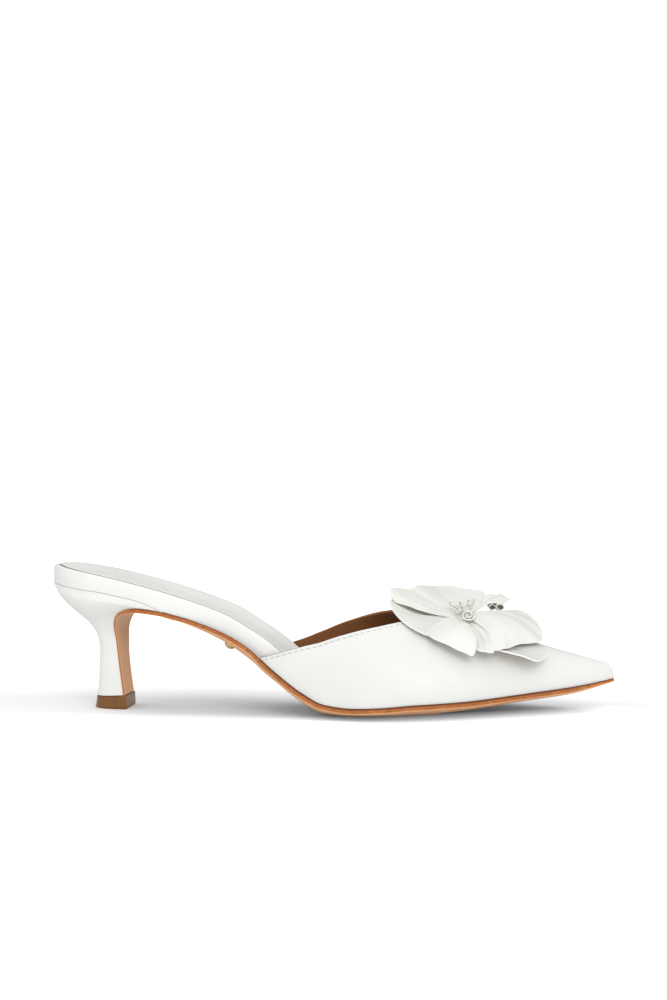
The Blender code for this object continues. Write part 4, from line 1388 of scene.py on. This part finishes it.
# Each petal is a sheet drawn through its own net of points, given from the flower's middle. A row
# runs across the petal from its first edge to its last, and the rows run from the foot to the rim.
PETAL_NETS = {
    "side_left": (
        ((-1.6, 0.9, 1.9), (-1.9, 0.2, 1.8), (-1.9, -0.6, 1.6), (-1.5, -1.4, 1.3),
         (-0.8, -1.8, 1.1)),
        ((-11.0, 2.6, 3.5), (-11.6, -1.8, 3.2), (-11.2, -4.6, 2.3), (-9.4, -7.4, 1.5),
         (-6.8, -9.4, 0.2)),
        ((-22.0, 3.8, 5.3), (-23.4, -3.4, 4.4), (-21.8, -9.2, 3.5), (-17.8, -14.2, 1.5),
         (-12.2, -17.6, -2.3)),
        ((-32.2, 4.6, 10.6), (-34.2, -5.2, 9.6), (-31.4, -14.0, 4.7), (-25.0, -21.2, 0.2),
         (-16.6, -24.6, -4.6)),
    ),
    "between": (
        ((-0.6, -2.0, 1.0), (0.2, -2.0, 1.1), (0.9, -1.9, 1.2), (1.6, -1.7, 1.4)),
        ((-0.6, -8.4, -1.2), (2.6, -8.8, -1.7), (4.8, -8.8, -0.9), (7.2, -7.8, 0.0)),
        ((1.8, -16.4, -5.4), (6.0, -17.2, -6.0), (9.0, -17.2, -4.4), (11.2, -15.8, -3.6)),
        ((2.6, -24.0, -9.2), (6.4, -26.6, -9.8), (9.6, -28.0, -10.2), (11.4, -27.6, -10.6)),
    ),
    "low_right": (
        ((1.0, -1.7, 1.1), (1.3, -1.5, 1.1), (1.6, -1.2, 1.1), (1.8, -0.8, 1.1), (1.9, -0.4, 1.1),
         (2.0, 0.0, 1.1)),
        ((5.4, -9.4, -3.2), (6.8, -9.0, -3.3), (8.4, -8.4, -3.4), (10.0, -7.4, -3.6),
         (11.4, -5.6, -3.4), (12.2, -3.0, -2.8)),
        ((9.8, -17.4, -8.2), (12.6, -17.0, -8.4), (16.0, -16.4, -8.9), (20.0, -15.2, -9.8),
         (23.2, -11.0, -9.4), (24.8, -5.6, -8.2)),
        ((13.8, -24.4, -10.2), (18.8, -24.2, -10.6), (24.2, -24.2, -12.4), (29.8, -22.4, -14.3),
         (34.6, -15.6, -13.0), (35.8, -8.0, -11.0)),
    ),
    "back": (
        ((1.0, 1.8, 3.6), (0.2, 2.0, 3.7), (-0.7, 2.0, 3.6), (-1.3, 1.6, 3.5), (-1.7, 1.1, 3.3),
         (-2.0, 0.5, 3.1), (-2.1, -0.3, 2.9)),
        ((5.4, 9.8, 5.6), (-0.3, 10.4, 5.7), (-4.4, 9.2, 6.0), (-7.6, 6.2, 6.1), (-9.4, 4.0, 5.8),
         (-10.8, 0.9, 5.4), (-11.2, -3.8, 3.6)),
        ((8.6, 19.6, 8.5), (-1.4, 20.4, 9.6), (-9.2, 17.8, 10.2), (-15.0, 11.8, 10.2),
         (-17.8, 7.6, 9.4), (-22.2, 1.8, 9.6), (-22.6, -4.8, 7.0)),
        ((9.3, 31.0, 12.8), (-3.0, 31.2, 14.3), (-14.4, 27.4, 15.3), (-23.0, 17.6, 15.5),
         (-27.0, 11.6, 14.2), (-33.4, 3.4, 15.7), (-34.6, -4.6, 10.4)),
    ),
    "front": (
        ((-2.2, -0.6, 2.0), (-1.8, -1.2, 1.7), (-1.0, -1.7, 1.4), (-0.3, -2.0, 1.2),
         (0.4, -2.0, 1.0)),
        ((-8.6, -6.4, 2.9), (-6.4, -9.4, 1.7), (-3.6, -10.2, 1.0), (-1.0, -10.4, 0.7),
         (0.9, -10.4, -0.2)),
        ((-14.0, -15.4, 0.6), (-10.6, -18.6, -0.7), (-5.0, -20.4, -1.6), (0.4, -20.9, -2.9),
         (3.6, -20.4, -4.8)),
        ((-18.6, -24.0, -3.2), (-13.0, -27.2, -5.0), (-6.4, -29.0, -8.0), (-1.2, -29.8, -10.2),
         (2.9, -29.6, -12.2)),
    ),
    "right": (
        ((0.9, -2.0, 2.8), (1.4, -1.8, 3.2), (1.8, -1.3, 3.6), (2.0, -0.8, 3.9), (2.1, -0.2, 4.2),
         (2.1, 0.4, 4.4), (1.8, 1.0, 4.5)),
        ((5.4, -9.0, 0.1), (7.8, -7.6, 2.4), (9.6, -5.6, 3.6), (10.8, -2.8, 4.4), (11.2, 0.0, 4.9),
         (10.4, 2.6, 5.3), (8.4, 4.4, 5.0)),
        ((9.8, -17.6, -3.8), (13.6, -15.6, -1.4), (17.6, -12.0, -0.4), (21.6, -6.0, 0.8),
         (23.4, 0.8, 2.2), (21.4, 6.4, 4.3), (16.2, 9.6, 4.8)),
        ((11.0, -27.4, -10.2), (17.0, -23.0, -8.9), (22.2, -16.0, -7.9), (30.2, -8.2, -7.7),
         (33.8, 0.6, -5.8), (31.4, 10.0, 0.8), (22.4, 14.2, 5.4)),
    ),
    "rolled": (
        ((6.4, 10.4, 5.9), (9.6, 11.0, 7.9), (13.2, 11.4, 8.6), (16.8, 12.0, 7.2)),
        ((7.2, 14.2, 7.4), (10.4, 15.0, 9.0), (14.2, 15.4, 9.4), (18.0, 15.8, 8.0)),
        ((8.2, 19.0, 9.6), (11.8, 20.6, 10.4), (15.8, 20.8, 10.6), (19.4, 19.8, 8.9)),
        ((9.0, 23.6, 11.0), (13.2, 26.0, 11.4), (17.6, 25.6, 10.9), (20.6, 23.0, 9.3)),
    ),
}

# What shapes a sheet further: how far its corners are rounded off, its rim's ruffles (height, how
# many, where the first begins) and its grooves, which run out from the foot (depth, how many, where
# the first is). The last number is its leather's tone, painted shade: petals that face away from
# the light or lie under others are made darker.
PETAL_LOOKS = {
    "side_left": (0.06, 0.25, 2.5, 0.1, 0.20, 3.0, 0.3, 0.9),
    "between": (0.04, 0.10, 1.0, 0.0, 0.00, 1.0, 0.0, 0.94),
    "low_right": (0.03, 0.30, 2.0, 0.3, 0.20, 3.0, 0.4, 0.84),
    "back": (0.05, 0.22, 4.5, 0.4, 0.35, 8.0, 0.3, 0.92),
    "front": (0.04, 0.15, 2.0, 0.2, 0.10, 2.0, 0.1, 0.97),
    "right": (0.04, 0.35, 5.0, 0.1, 0.16, 5.0, 0.2, 0.94),
    "rolled": (0.02, 0.30, 2.5, 0.0, 0.15, 3.0, 0.0, 0.95),
}


def flower_middle():
    """The flower's middle, on the vamp's face."""
    return np.array([FLOWER_X, FLOWER_Y, float(last_height(FLOWER_X, FLOWER_Y))])


def petal_sheet(name):
    """The middle surface of a petal, with rows from foot to rim and columns from edge to edge."""
    net = np.array(PETAL_NETS[name])
    corner, ruffle, ruffles, ruffle_at, groove, grooves, groove_at, _ = PETAL_LOOKS[name]
    v = np.sin(np.linspace(-math.pi / 2, math.pi / 2, PETAL_COLUMNS + 1))
    u = np.linspace(0.0, 1.0, PETAL_ROWS + 1) ** PETAL_CROWD
    across = natural(np.swapaxes(net, 0, 1), (v + 1.0) / 2.0 * (net.shape[1] - 1))
    wide, tight = PETAL_CORNERS
    sheet = []
    for place, line in zip(v, across):
        reach = 1.0 - corner * abs(place) ** wide - corner * abs(place) ** tight
        nick = PETAL_NICK * math.sin(9.0 * place + ruffle_at)
        sheet.append(natural(line, u * (reach + nick) * (len(line) - 1)))
    sheet = np.swapaxes(np.array(sheet), 0, 1)
    up = upward_normals(sheet)
    v = v[None, :]
    u = u[:, None]
    swell = np.sin(math.pi * u)
    crumple = np.sin(7.0 * u + 5.0 * v + 1.3) * np.sin(9.0 * v - 4.0 * u)
    crumple = crumple + 0.6 * np.sin(15.0 * u * v + 2.0)
    rim = np.sin(2 * math.pi * (ruffles * v / 2 + ruffle_at))
    wave = PETAL_CRUMPLE * crumple * swell + ruffle * u**4 * rim
    line = (1.0 + np.cos(2 * math.pi * (grooves * v / 2 + groove_at))) / 2
    wave = wave - groove * swell**0.7 * line**3
    return flower_middle() + sheet + up * wave[..., None]


ROLL_CUTS = 10
ROLL_BULGE = 0.1
ROLL_SLANT = (0.12, 0.05)
ROLL_DENT = (0.08, 0.015)
PLUG_THICK = 0.4
PLUG_CROWN = 0.25


def roll(end, axis, beside, over, shape, steps):
    """A strip rolled up on itself from its open end back, as an outer and an inner sheet."""
    radius, length, turns, core, thick, flare, start = shape
    outer = []
    inner = []
    for i in range(steps + 1):
        angle = 2 * math.pi * turns * i / steps + start
        way = math.cos(angle) * beside + math.sin(angle) * over
        spread = radius * (core + (1.0 - core) * i / steps)
        slow, quick = ROLL_SLANT
        slant = slow * length * math.sin(0.6 * angle)
        slant += quick * length * math.sin(3.1 * angle + 2.0 * start)
        slow, quick = ROLL_DENT
        line = []
        for k in range(ROLL_CUTS + 1):
            far = k / ROLL_CUTS
            wide = spread * (1.0 + flare * (1.0 - far) ** 2)
            dent = 1.0 + slow * math.sin(2.0 * angle + 3.0 * far + start)
            dent = dent + quick * math.sin(5.0 * angle - 4.0 * far)
            line.append((end - axis * (length * far + slant * (1 - far)), wide * dent))
        outer.append([middle + way * wide for middle, wide in line])
        inner.append([middle + way * (wide - thick) for middle, wide in line])
    return np.array(outer), np.array(inner)


def joined(parts):
    """Several meshes as one: their points, faces and face groups."""
    points = []
    faces = []
    groups = []
    for some_points, some_faces, some_groups in parts:
        base = sum(len(block) for block in points)
        points.append(np.asarray(some_points))
        faces += [tuple(number + base for number in face) for face in some_faces]
        groups += list(some_groups)
    return np.concatenate(points), faces, groups


def leather_sheet(upper_side, lower_side, bulge):
    """A cut sheet of leather: 0 its finished side, 1 its cut edge, 2 its rough back."""
    look = (0, 2, 1, 1, 1, 1, 2, 2)
    return wall_mesh(upper_side, lower_side, look, steps=6, bulge=bulge, square=0.6)


def axes(azimuth, pitch):
    """A roll's own axis, and the two directions square to it."""
    turn = math.radians(azimuth)
    tilt = math.radians(pitch)
    flat = math.cos(tilt)
    axis = np.array([math.cos(turn) * flat, math.sin(turn) * flat, math.sin(tilt)])
    beside = np.array([-math.sin(turn), math.cos(turn), 0.0])
    return axis, beside, np.cross(axis, beside)


def plug(end, axis, beside, over, radius, sides=24):
    """A disc that closes a roll a little way in, in the roll's darker inner finish: painted shade
    in its hollow.
    """
    turns = np.linspace(0, 2 * math.pi, sides + 1)[:-1]
    front = np.array([end + radius * (math.cos(t) * beside + math.sin(t) * over) for t in turns])
    middles = [end + PLUG_CROWN * axis, end - PLUG_THICK * axis]
    points = np.concatenate([front, front - PLUG_THICK * axis, middles])
    faces = strip(list(range(sides)), list(range(sides, 2 * sides)), closed=True)
    for k in range(sides):
        after = (k + 1) % sides
        faces.append((k, after, 2 * sides))
        faces.append((sides + after, sides + k, 2 * sides + 1))
    return points, faces, [2] * len(faces)


def rolls(rows, steps, plugged):
    """Meshes of a table's rolls, each plugged this share of its radius from its open end."""
    made = []
    for x, y, z, azimuth, pitch, *shape in rows:
        end = flower_middle() + np.array([x, y, z])
        ways = axes(azimuth, pitch)
        radius, core = shape[0], shape[3]
        rolled = leather_sheet(*roll(end, *ways, shape, steps), ROLL_BULGE)
        stop = plug(end - plugged * radius * ways[0], *ways, radius * (core + 1.0) / 2)
        made.append(joined([rolled, stop]))
    return made


# Rolled strips, given from the flower's middle: the open end's place, the axis's azimuth and pitch
# in degrees, radius, length, turns, the core's share of the radius, thickness, flare and where the
# turns start. These two end the rear petal.
ROLLS = (
    (11.9, 12.0, 6.3, 276.0, -4.0, 1.65, 7.0, 1.3, 0.62, 0.4, 0.06, 1.2),
    (15.6, 11.6, 6.5, 284.0, -4.0, 1.85, 7.0, 1.3, 0.7, 0.4, 0.06, 2.4),
)
ROLL_STEPS = 48
ROLL_PLUGGED = 1.3
# The rolls' cut edges take a darker copy of the petal leather, and their insides and plugs the
# darker flesh: painted shade at the rolls' open ends.
ROLL_GROUPS = (0, 3, 4)
ROLL_EDGE_SHADE = 0.9


class PUMP_OT_petals(bpy.types.Operator):
    """Makes the flower's petals, each with its raw cut edge and rough back"""

    bl_idname = "pump.petals"
    bl_label = "Petals"

    def execute(self, context):
        half = PETAL_THICK / 2
        for name in PETAL_NETS:
            sheet = petal_sheet(name)
            up = upward_normals(sheet)
            parts = [leather_sheet(sheet + half * up, sheet - half * up, PETAL_BULGE)]
            # Each petal's leather is a copy darkened by its painted shade.
            finishes = [leather("petal_leather", PETAL_LOOKS[name][-1])]
            finishes += [leather("petal_edge"), leather("flesh_side")]
            if name == "rolled":
                for points, faces, groups in rolls(ROLLS, ROLL_STEPS, ROLL_PLUGGED):
                    parts.append((points, faces, [ROLL_GROUPS[group] for group in groups]))
                # Darker copies for the rolls' edges and insides: painted shade.
                finishes += [leather("petal_leather", ROLL_EDGE_SHADE), leather("dark_flesh")]
            mesh = joined(parts)
            node = f"petal_{name}"
            make_piece(f"leaf_{name}", *mesh[:2], finishes, mesh[2], "flower_leather", node)
        return {"FINISHED"}


SEAT_RADIUS = 7.0
SEAT_RINGS = ((1.0, 0.3), (0.98, 0.9), (0.85, 1.3), (0.6, 2.0), (0.35, 2.9), (0.12, 3.3))
SEAT_PUCKER = 0.1
SEAT_PUCKERS = 5


class PUMP_OT_flower_seat(bpy.types.Operator):
    """Makes the small leather boss under the curls, which the petals are sewn to"""

    bl_idname = "pump.flower_seat"
    bl_label = "Flower seat"

    def execute(self, context):
        def place(share, height, turn):
            x = FLOWER_X + SEAT_RADIUS * share * math.cos(turn)
            y = FLOWER_Y + SEAT_RADIUS * share * math.sin(turn)
            pucker = SEAT_PUCKER * math.sin(SEAT_PUCKERS * turn) * share
            return x, y, float(last_height(x, y)) + height + pucker

        points, faces = turned_mesh(SEAT_RINGS, place)
        finishes = [leather("petal_leather", 1.0)]
        make_piece("flower_seat", points, faces, finishes, None, "flower_leather")
        return {"FINISHED"}


# The curls in the flower's middle. The first five stand for the frame's own curls.
CURLS = (
    (0.6, -9.6, 4.5, 266.0, 8.0, 2.8, 6.0, 1.8, 0.26, 0.55, 0.04, 1.2),
    (-2.6, -2.8, 8.9, 215.0, 42.0, 1.35, 5.0, 1.5, 0.45, 0.36, 0.12, 2.0),
    (-4.0, -5.2, 6.2, 235.0, 12.0, 1.35, 4.0, 1.4, 0.45, 0.36, 0.10, 0.0),
    (3.2, 1.0, 10.0, 330.0, 52.0, 1.40, 5.0, 1.4, 0.50, 0.36, 0.14, 1.0),
    (-7.0, -0.2, 8.9, 200.0, 28.0, 1.05, 6.5, 1.3, 0.55, 0.34, 0.25, 3.0),
    (0.9, -1.6, 9.8, 262.0, 48.0, 1.15, 4.5, 1.4, 0.50, 0.34, 0.10, 4.0),
    (-0.6, -6.4, 7.4, 250.0, 30.0, 1.05, 4.0, 1.3, 0.50, 0.34, 0.10, 5.0),
    (3.0, -6.6, 5.4, 300.0, 14.0, 1.00, 3.6, 1.3, 0.50, 0.32, 0.10, 1.7),
)
FRAME_CURLS = 5
CURL_STEPS = 84
CURL_PLUGGED = 0.35
# The curls' face, cut edge and inside. The inside and the plug take a darker copy of the petal
# leather: painted shade in each curl's hollow.
CURL_TONES = (0.94, 1.05, 0.8)


class PUMP_OT_curls(bpy.types.Operator):
    """Makes the rolled leather curls in the flower's middle"""

    bl_idname = "pump.curls"
    bl_label = "Curls"

    def execute(self, context):
        finishes = [leather("petal_leather", tone) for tone in CURL_TONES]
        for number, mesh in enumerate(rolls(CURLS, CURL_STEPS, CURL_PLUGGED), 1):
            node = f"curl_{number}" if number <= FRAME_CURLS else None
            make_piece(f"scroll_{number}", *mesh[:2], finishes, mesh[2], "flower_leather", node)
        return {"FINISHED"}


# ---------------------------------------------------------------- stage

# How bright the surround is: all round, and how much more overhead, in front and beside the toe.
SURROUND = 0.75
OVERHEAD = 0.10
FROM_THE_FRONT = 0.32
FROM_THE_TOE = -0.08
# Each panel: its name, its place, what it aims at, its size and its power.
PANELS = (
    ("top_panel", (0.15, -0.30, 1.1), (0.05, 0.0, 0.0), 0.5, 0.5),
    ("front_panel", (0.35, -0.95, 0.55), (0.0, 0.0, 0.03), 0.6, 3.6),
)
CAMERA_LENS = 47.0232
CAMERA_AWAY = 0.6
CAMERA_HEIGHT = 0.09
CAMERA_AIM_X = 131.3
CAMERA_TURN = 5.0
CAMERA_PITCH = 0.5744
CAMERA_FILM = 36.0
CAMERA_CLIP = 0.01
FLOOR_SQUARES = 12
FLOOR_SHADE = 0.985
# The floor's colour for the light that it throws on the shoe, darker than what the camera sees.
FLOOR_THROWS = (0.9, 0.9, 0.9)
WHITE = (1.0, 1.0, 1.0, 1.0)

# The floor's painted glow, seen only by the camera: far off it keeps the floor evenly white, and in
# front of and behind the shoe it is painted light that lightens the floor's shadow. Each gives from
# and to in metres and then in strength: far off, in front and behind. TOE_SHIFT moves the front
# glow's edge towards the toe.
FAR_GLOW = (0.18, 0.42, 0.04, 0.4)
TOE_SHIFT = (0.02, 0.13, 0.03, -0.014)
FRONT_GLOW = (0.012, -0.018, 0.0, 0.56)
BACK_GLOW = (0.03, 0.075, 0.0, 0.22)


class PUMP_OT_stage(bpy.types.Operator):
    """Makes the pale floor, the soft lights and the camera"""

    bl_idname = "pump.stage"
    bl_label = "Stage"

    def execute(self, context):
        scene = context.scene
        side = sizes().floor_size / 2
        row = FLOOR_SQUARES + 1
        steps = np.linspace(-side, side, row)
        points = [(x, y, 0.0) for y in steps for x in steps]
        starts = [j * row + i for j in range(FLOOR_SQUARES) for i in range(FLOOR_SQUARES)]
        faces = [(at, at + 1, at + row + 1, at + row) for at in starts]
        mesh = bpy.data.meshes.new("floor")
        mesh.from_pydata(points, [], faces)
        mesh.materials.append(self.floor_material())
        floor = bpy.data.objects.new("floor", mesh)
        scene.collection.objects.link(floor)
        self.lights(scene)
        self.camera(scene)
        scene.view_settings.view_transform = "Standard"
        return {"FINISHED"}

    def floor_material(self):
        """A matt pale floor with a hardly visible drift of tone, a painted glow that lightens its
        shadow in front of and behind the shoe, and a darker colour for the light that it throws on
        the shoe.
        """
        material, tree, shader = new_material("pale_floor")
        base = tuple(colours().floor)
        where = add(tree, "TexCoord").outputs["Object"]
        drift = noise(tree, where, 3.0, 2.0, 0.5)
        seen = add(tree, "LightPath").outputs["Is Camera Ray"]
        paper = mixed(tree, seen, FLOOR_THROWS, mixed(tree, drift, base, shaded(base, FLOOR_SHADE)))
        away = add(tree, "VectorMath", {0: where}, operation="LENGTH").outputs["Value"]
        place = add(tree, "SeparateXYZ", {"Vector": where}).outputs
        ahead = math_node(tree, "ADD", place["Y"], ramp(tree, place["X"], *TOE_SHIFT))
        # Painted glow, seen only by the camera: it lightens the floor's shadow in front of and
        # behind the shoe and keeps the far floor white.
        glow = math_node(tree, "ADD", ramp(tree, away, *FAR_GLOW), ramp(tree, ahead, *FRONT_GLOW))
        glow = math_node(tree, "ADD", glow, ramp(tree, place["Y"], *BACK_GLOW))
        finish = {
            "Base Color": paper,
            "Emission Strength": math_node(tree, "MULTIPLY", seen, glow),
            "Emission Color": WHITE,
            "Roughness": 0.9,
            "Specular IOR Level": 0.0,
        }
        put(tree, shader, finish)
        return material

    def lights(self, scene):
        """A white surround, brighter overhead, and two soft panels."""
        world = bpy.data.worlds.new("white_surround")
        world.use_nodes = True
        tree = world.node_tree
        where = add(tree, "TexCoord").outputs["Generated"]
        way = add(tree, "SeparateXYZ", {"Vector": where}).outputs
        raised = math_node(tree, "MULTIPLY_ADD", way["Z"], OVERHEAD, SURROUND)
        fronted = math_node(tree, "MULTIPLY_ADD", way["Y"], -FROM_THE_FRONT, raised)
        turned = math_node(tree, "MULTIPLY_ADD", way["X"], FROM_THE_TOE, fronted)
        seen = add(tree, "LightPath").outputs["Is Camera Ray"]
        strength = add(tree, "Mix", {"A": turned, "B": 1.0, "Factor": seen}, data_type="FLOAT")
        backdrop = {"Strength": strength.outputs["Result"], "Color": WHITE}
        put(tree, tree.nodes["Background"], backdrop)
        scene.world = world
        for name, place, aim, size, power in PANELS:
            light = bpy.data.lights.new(name, "AREA")
            light.shape = "DISK"
            light.size = size
            light.energy = power
            lamp = bpy.data.objects.new(name, light)
            lamp.location = place
            lamp.rotation_euler = (Vector(aim) - Vector(place)).to_track_quat("-Z", "Y").to_euler()
            scene.collection.objects.link(lamp)

    def camera(self, scene):
        """The camera, turned a little towards the toe and just above the shoe."""
        turn = math.radians(CAMERA_TURN)
        pitch = math.radians(CAMERA_PITCH)
        lens = bpy.data.cameras.new("camera")
        lens.lens = CAMERA_LENS
        lens.sensor_fit = "VERTICAL"
        lens.sensor_height = CAMERA_FILM
        lens.clip_start = CAMERA_CLIP
        aim_x, aim_y, _ = placed([(CAMERA_AIM_X, 0.0, 0.0)])[0]
        across, ahead = math.sin(turn), math.cos(turn)
        eye = Vector((aim_x + CAMERA_AWAY * across, aim_y - CAMERA_AWAY * ahead, CAMERA_HEIGHT))
        forward = Vector((-across * math.cos(pitch), ahead * math.cos(pitch), math.sin(pitch)))
        facing = forward.to_track_quat("-Z", "Y").to_matrix().to_4x4()
        camera = bpy.data.objects.new("camera", lens)
        camera.matrix_world = Matrix.Translation(eye) @ facing
        scene.collection.objects.link(camera)
        scene.camera = camera


# ---------------------------------------------------------------- add-on

OPERATORS = (
    PUMP_OT_stage,
    PUMP_OT_vamp,
    PUMP_OT_stitching,
    PUMP_OT_footbed,
    PUMP_OT_sock,
    PUMP_OT_sole,
    PUMP_OT_heel,
    PUMP_OT_top_piece,
    PUMP_OT_stud,
    PUMP_OT_petals,
    PUMP_OT_flower_seat,
    PUMP_OT_curls,
)


class PUMP_PT_panel(bpy.types.Panel):
    """Lists the pump's sizes, colours and pieces"""

    bl_idname = "PUMP_PT_panel"
    bl_label = "Flower mule pump"
    bl_space_type = "VIEW_3D"
    bl_region_type = "UI"
    bl_category = "Pump"

    def draw(self, context):
        for group in (context.scene.pump_sizes, context.scene.pump_colours):
            box = self.layout.box()
            for name in group.bl_rna.properties.keys():
                if name not in ("rna_type", "name"):
                    box.prop(group, name)
        for operator in OPERATORS:
            self.layout.operator(operator.bl_idname)


CLASSES = (PumpColours, PumpSizes, *OPERATORS, PUMP_PT_panel)


def register():
    for cls in CLASSES:
        bpy.utils.register_class(cls)
    bpy.types.Scene.pump_colours = bpy.props.PointerProperty(type=PumpColours)
    bpy.types.Scene.pump_sizes = bpy.props.PointerProperty(type=PumpSizes)


def unregister():
    del bpy.types.Scene.pump_sizes
    del bpy.types.Scene.pump_colours
    for cls in reversed(CLASSES):
        bpy.utils.unregister_class(cls)


def main():
    """Registers the add-on and makes every piece in order."""
    register()
    for operator in OPERATORS:
        group, name = operator.bl_idname.split(".")
        getattr(getattr(bpy.ops, group), name)()


if __name__ == "__main__":
    main()
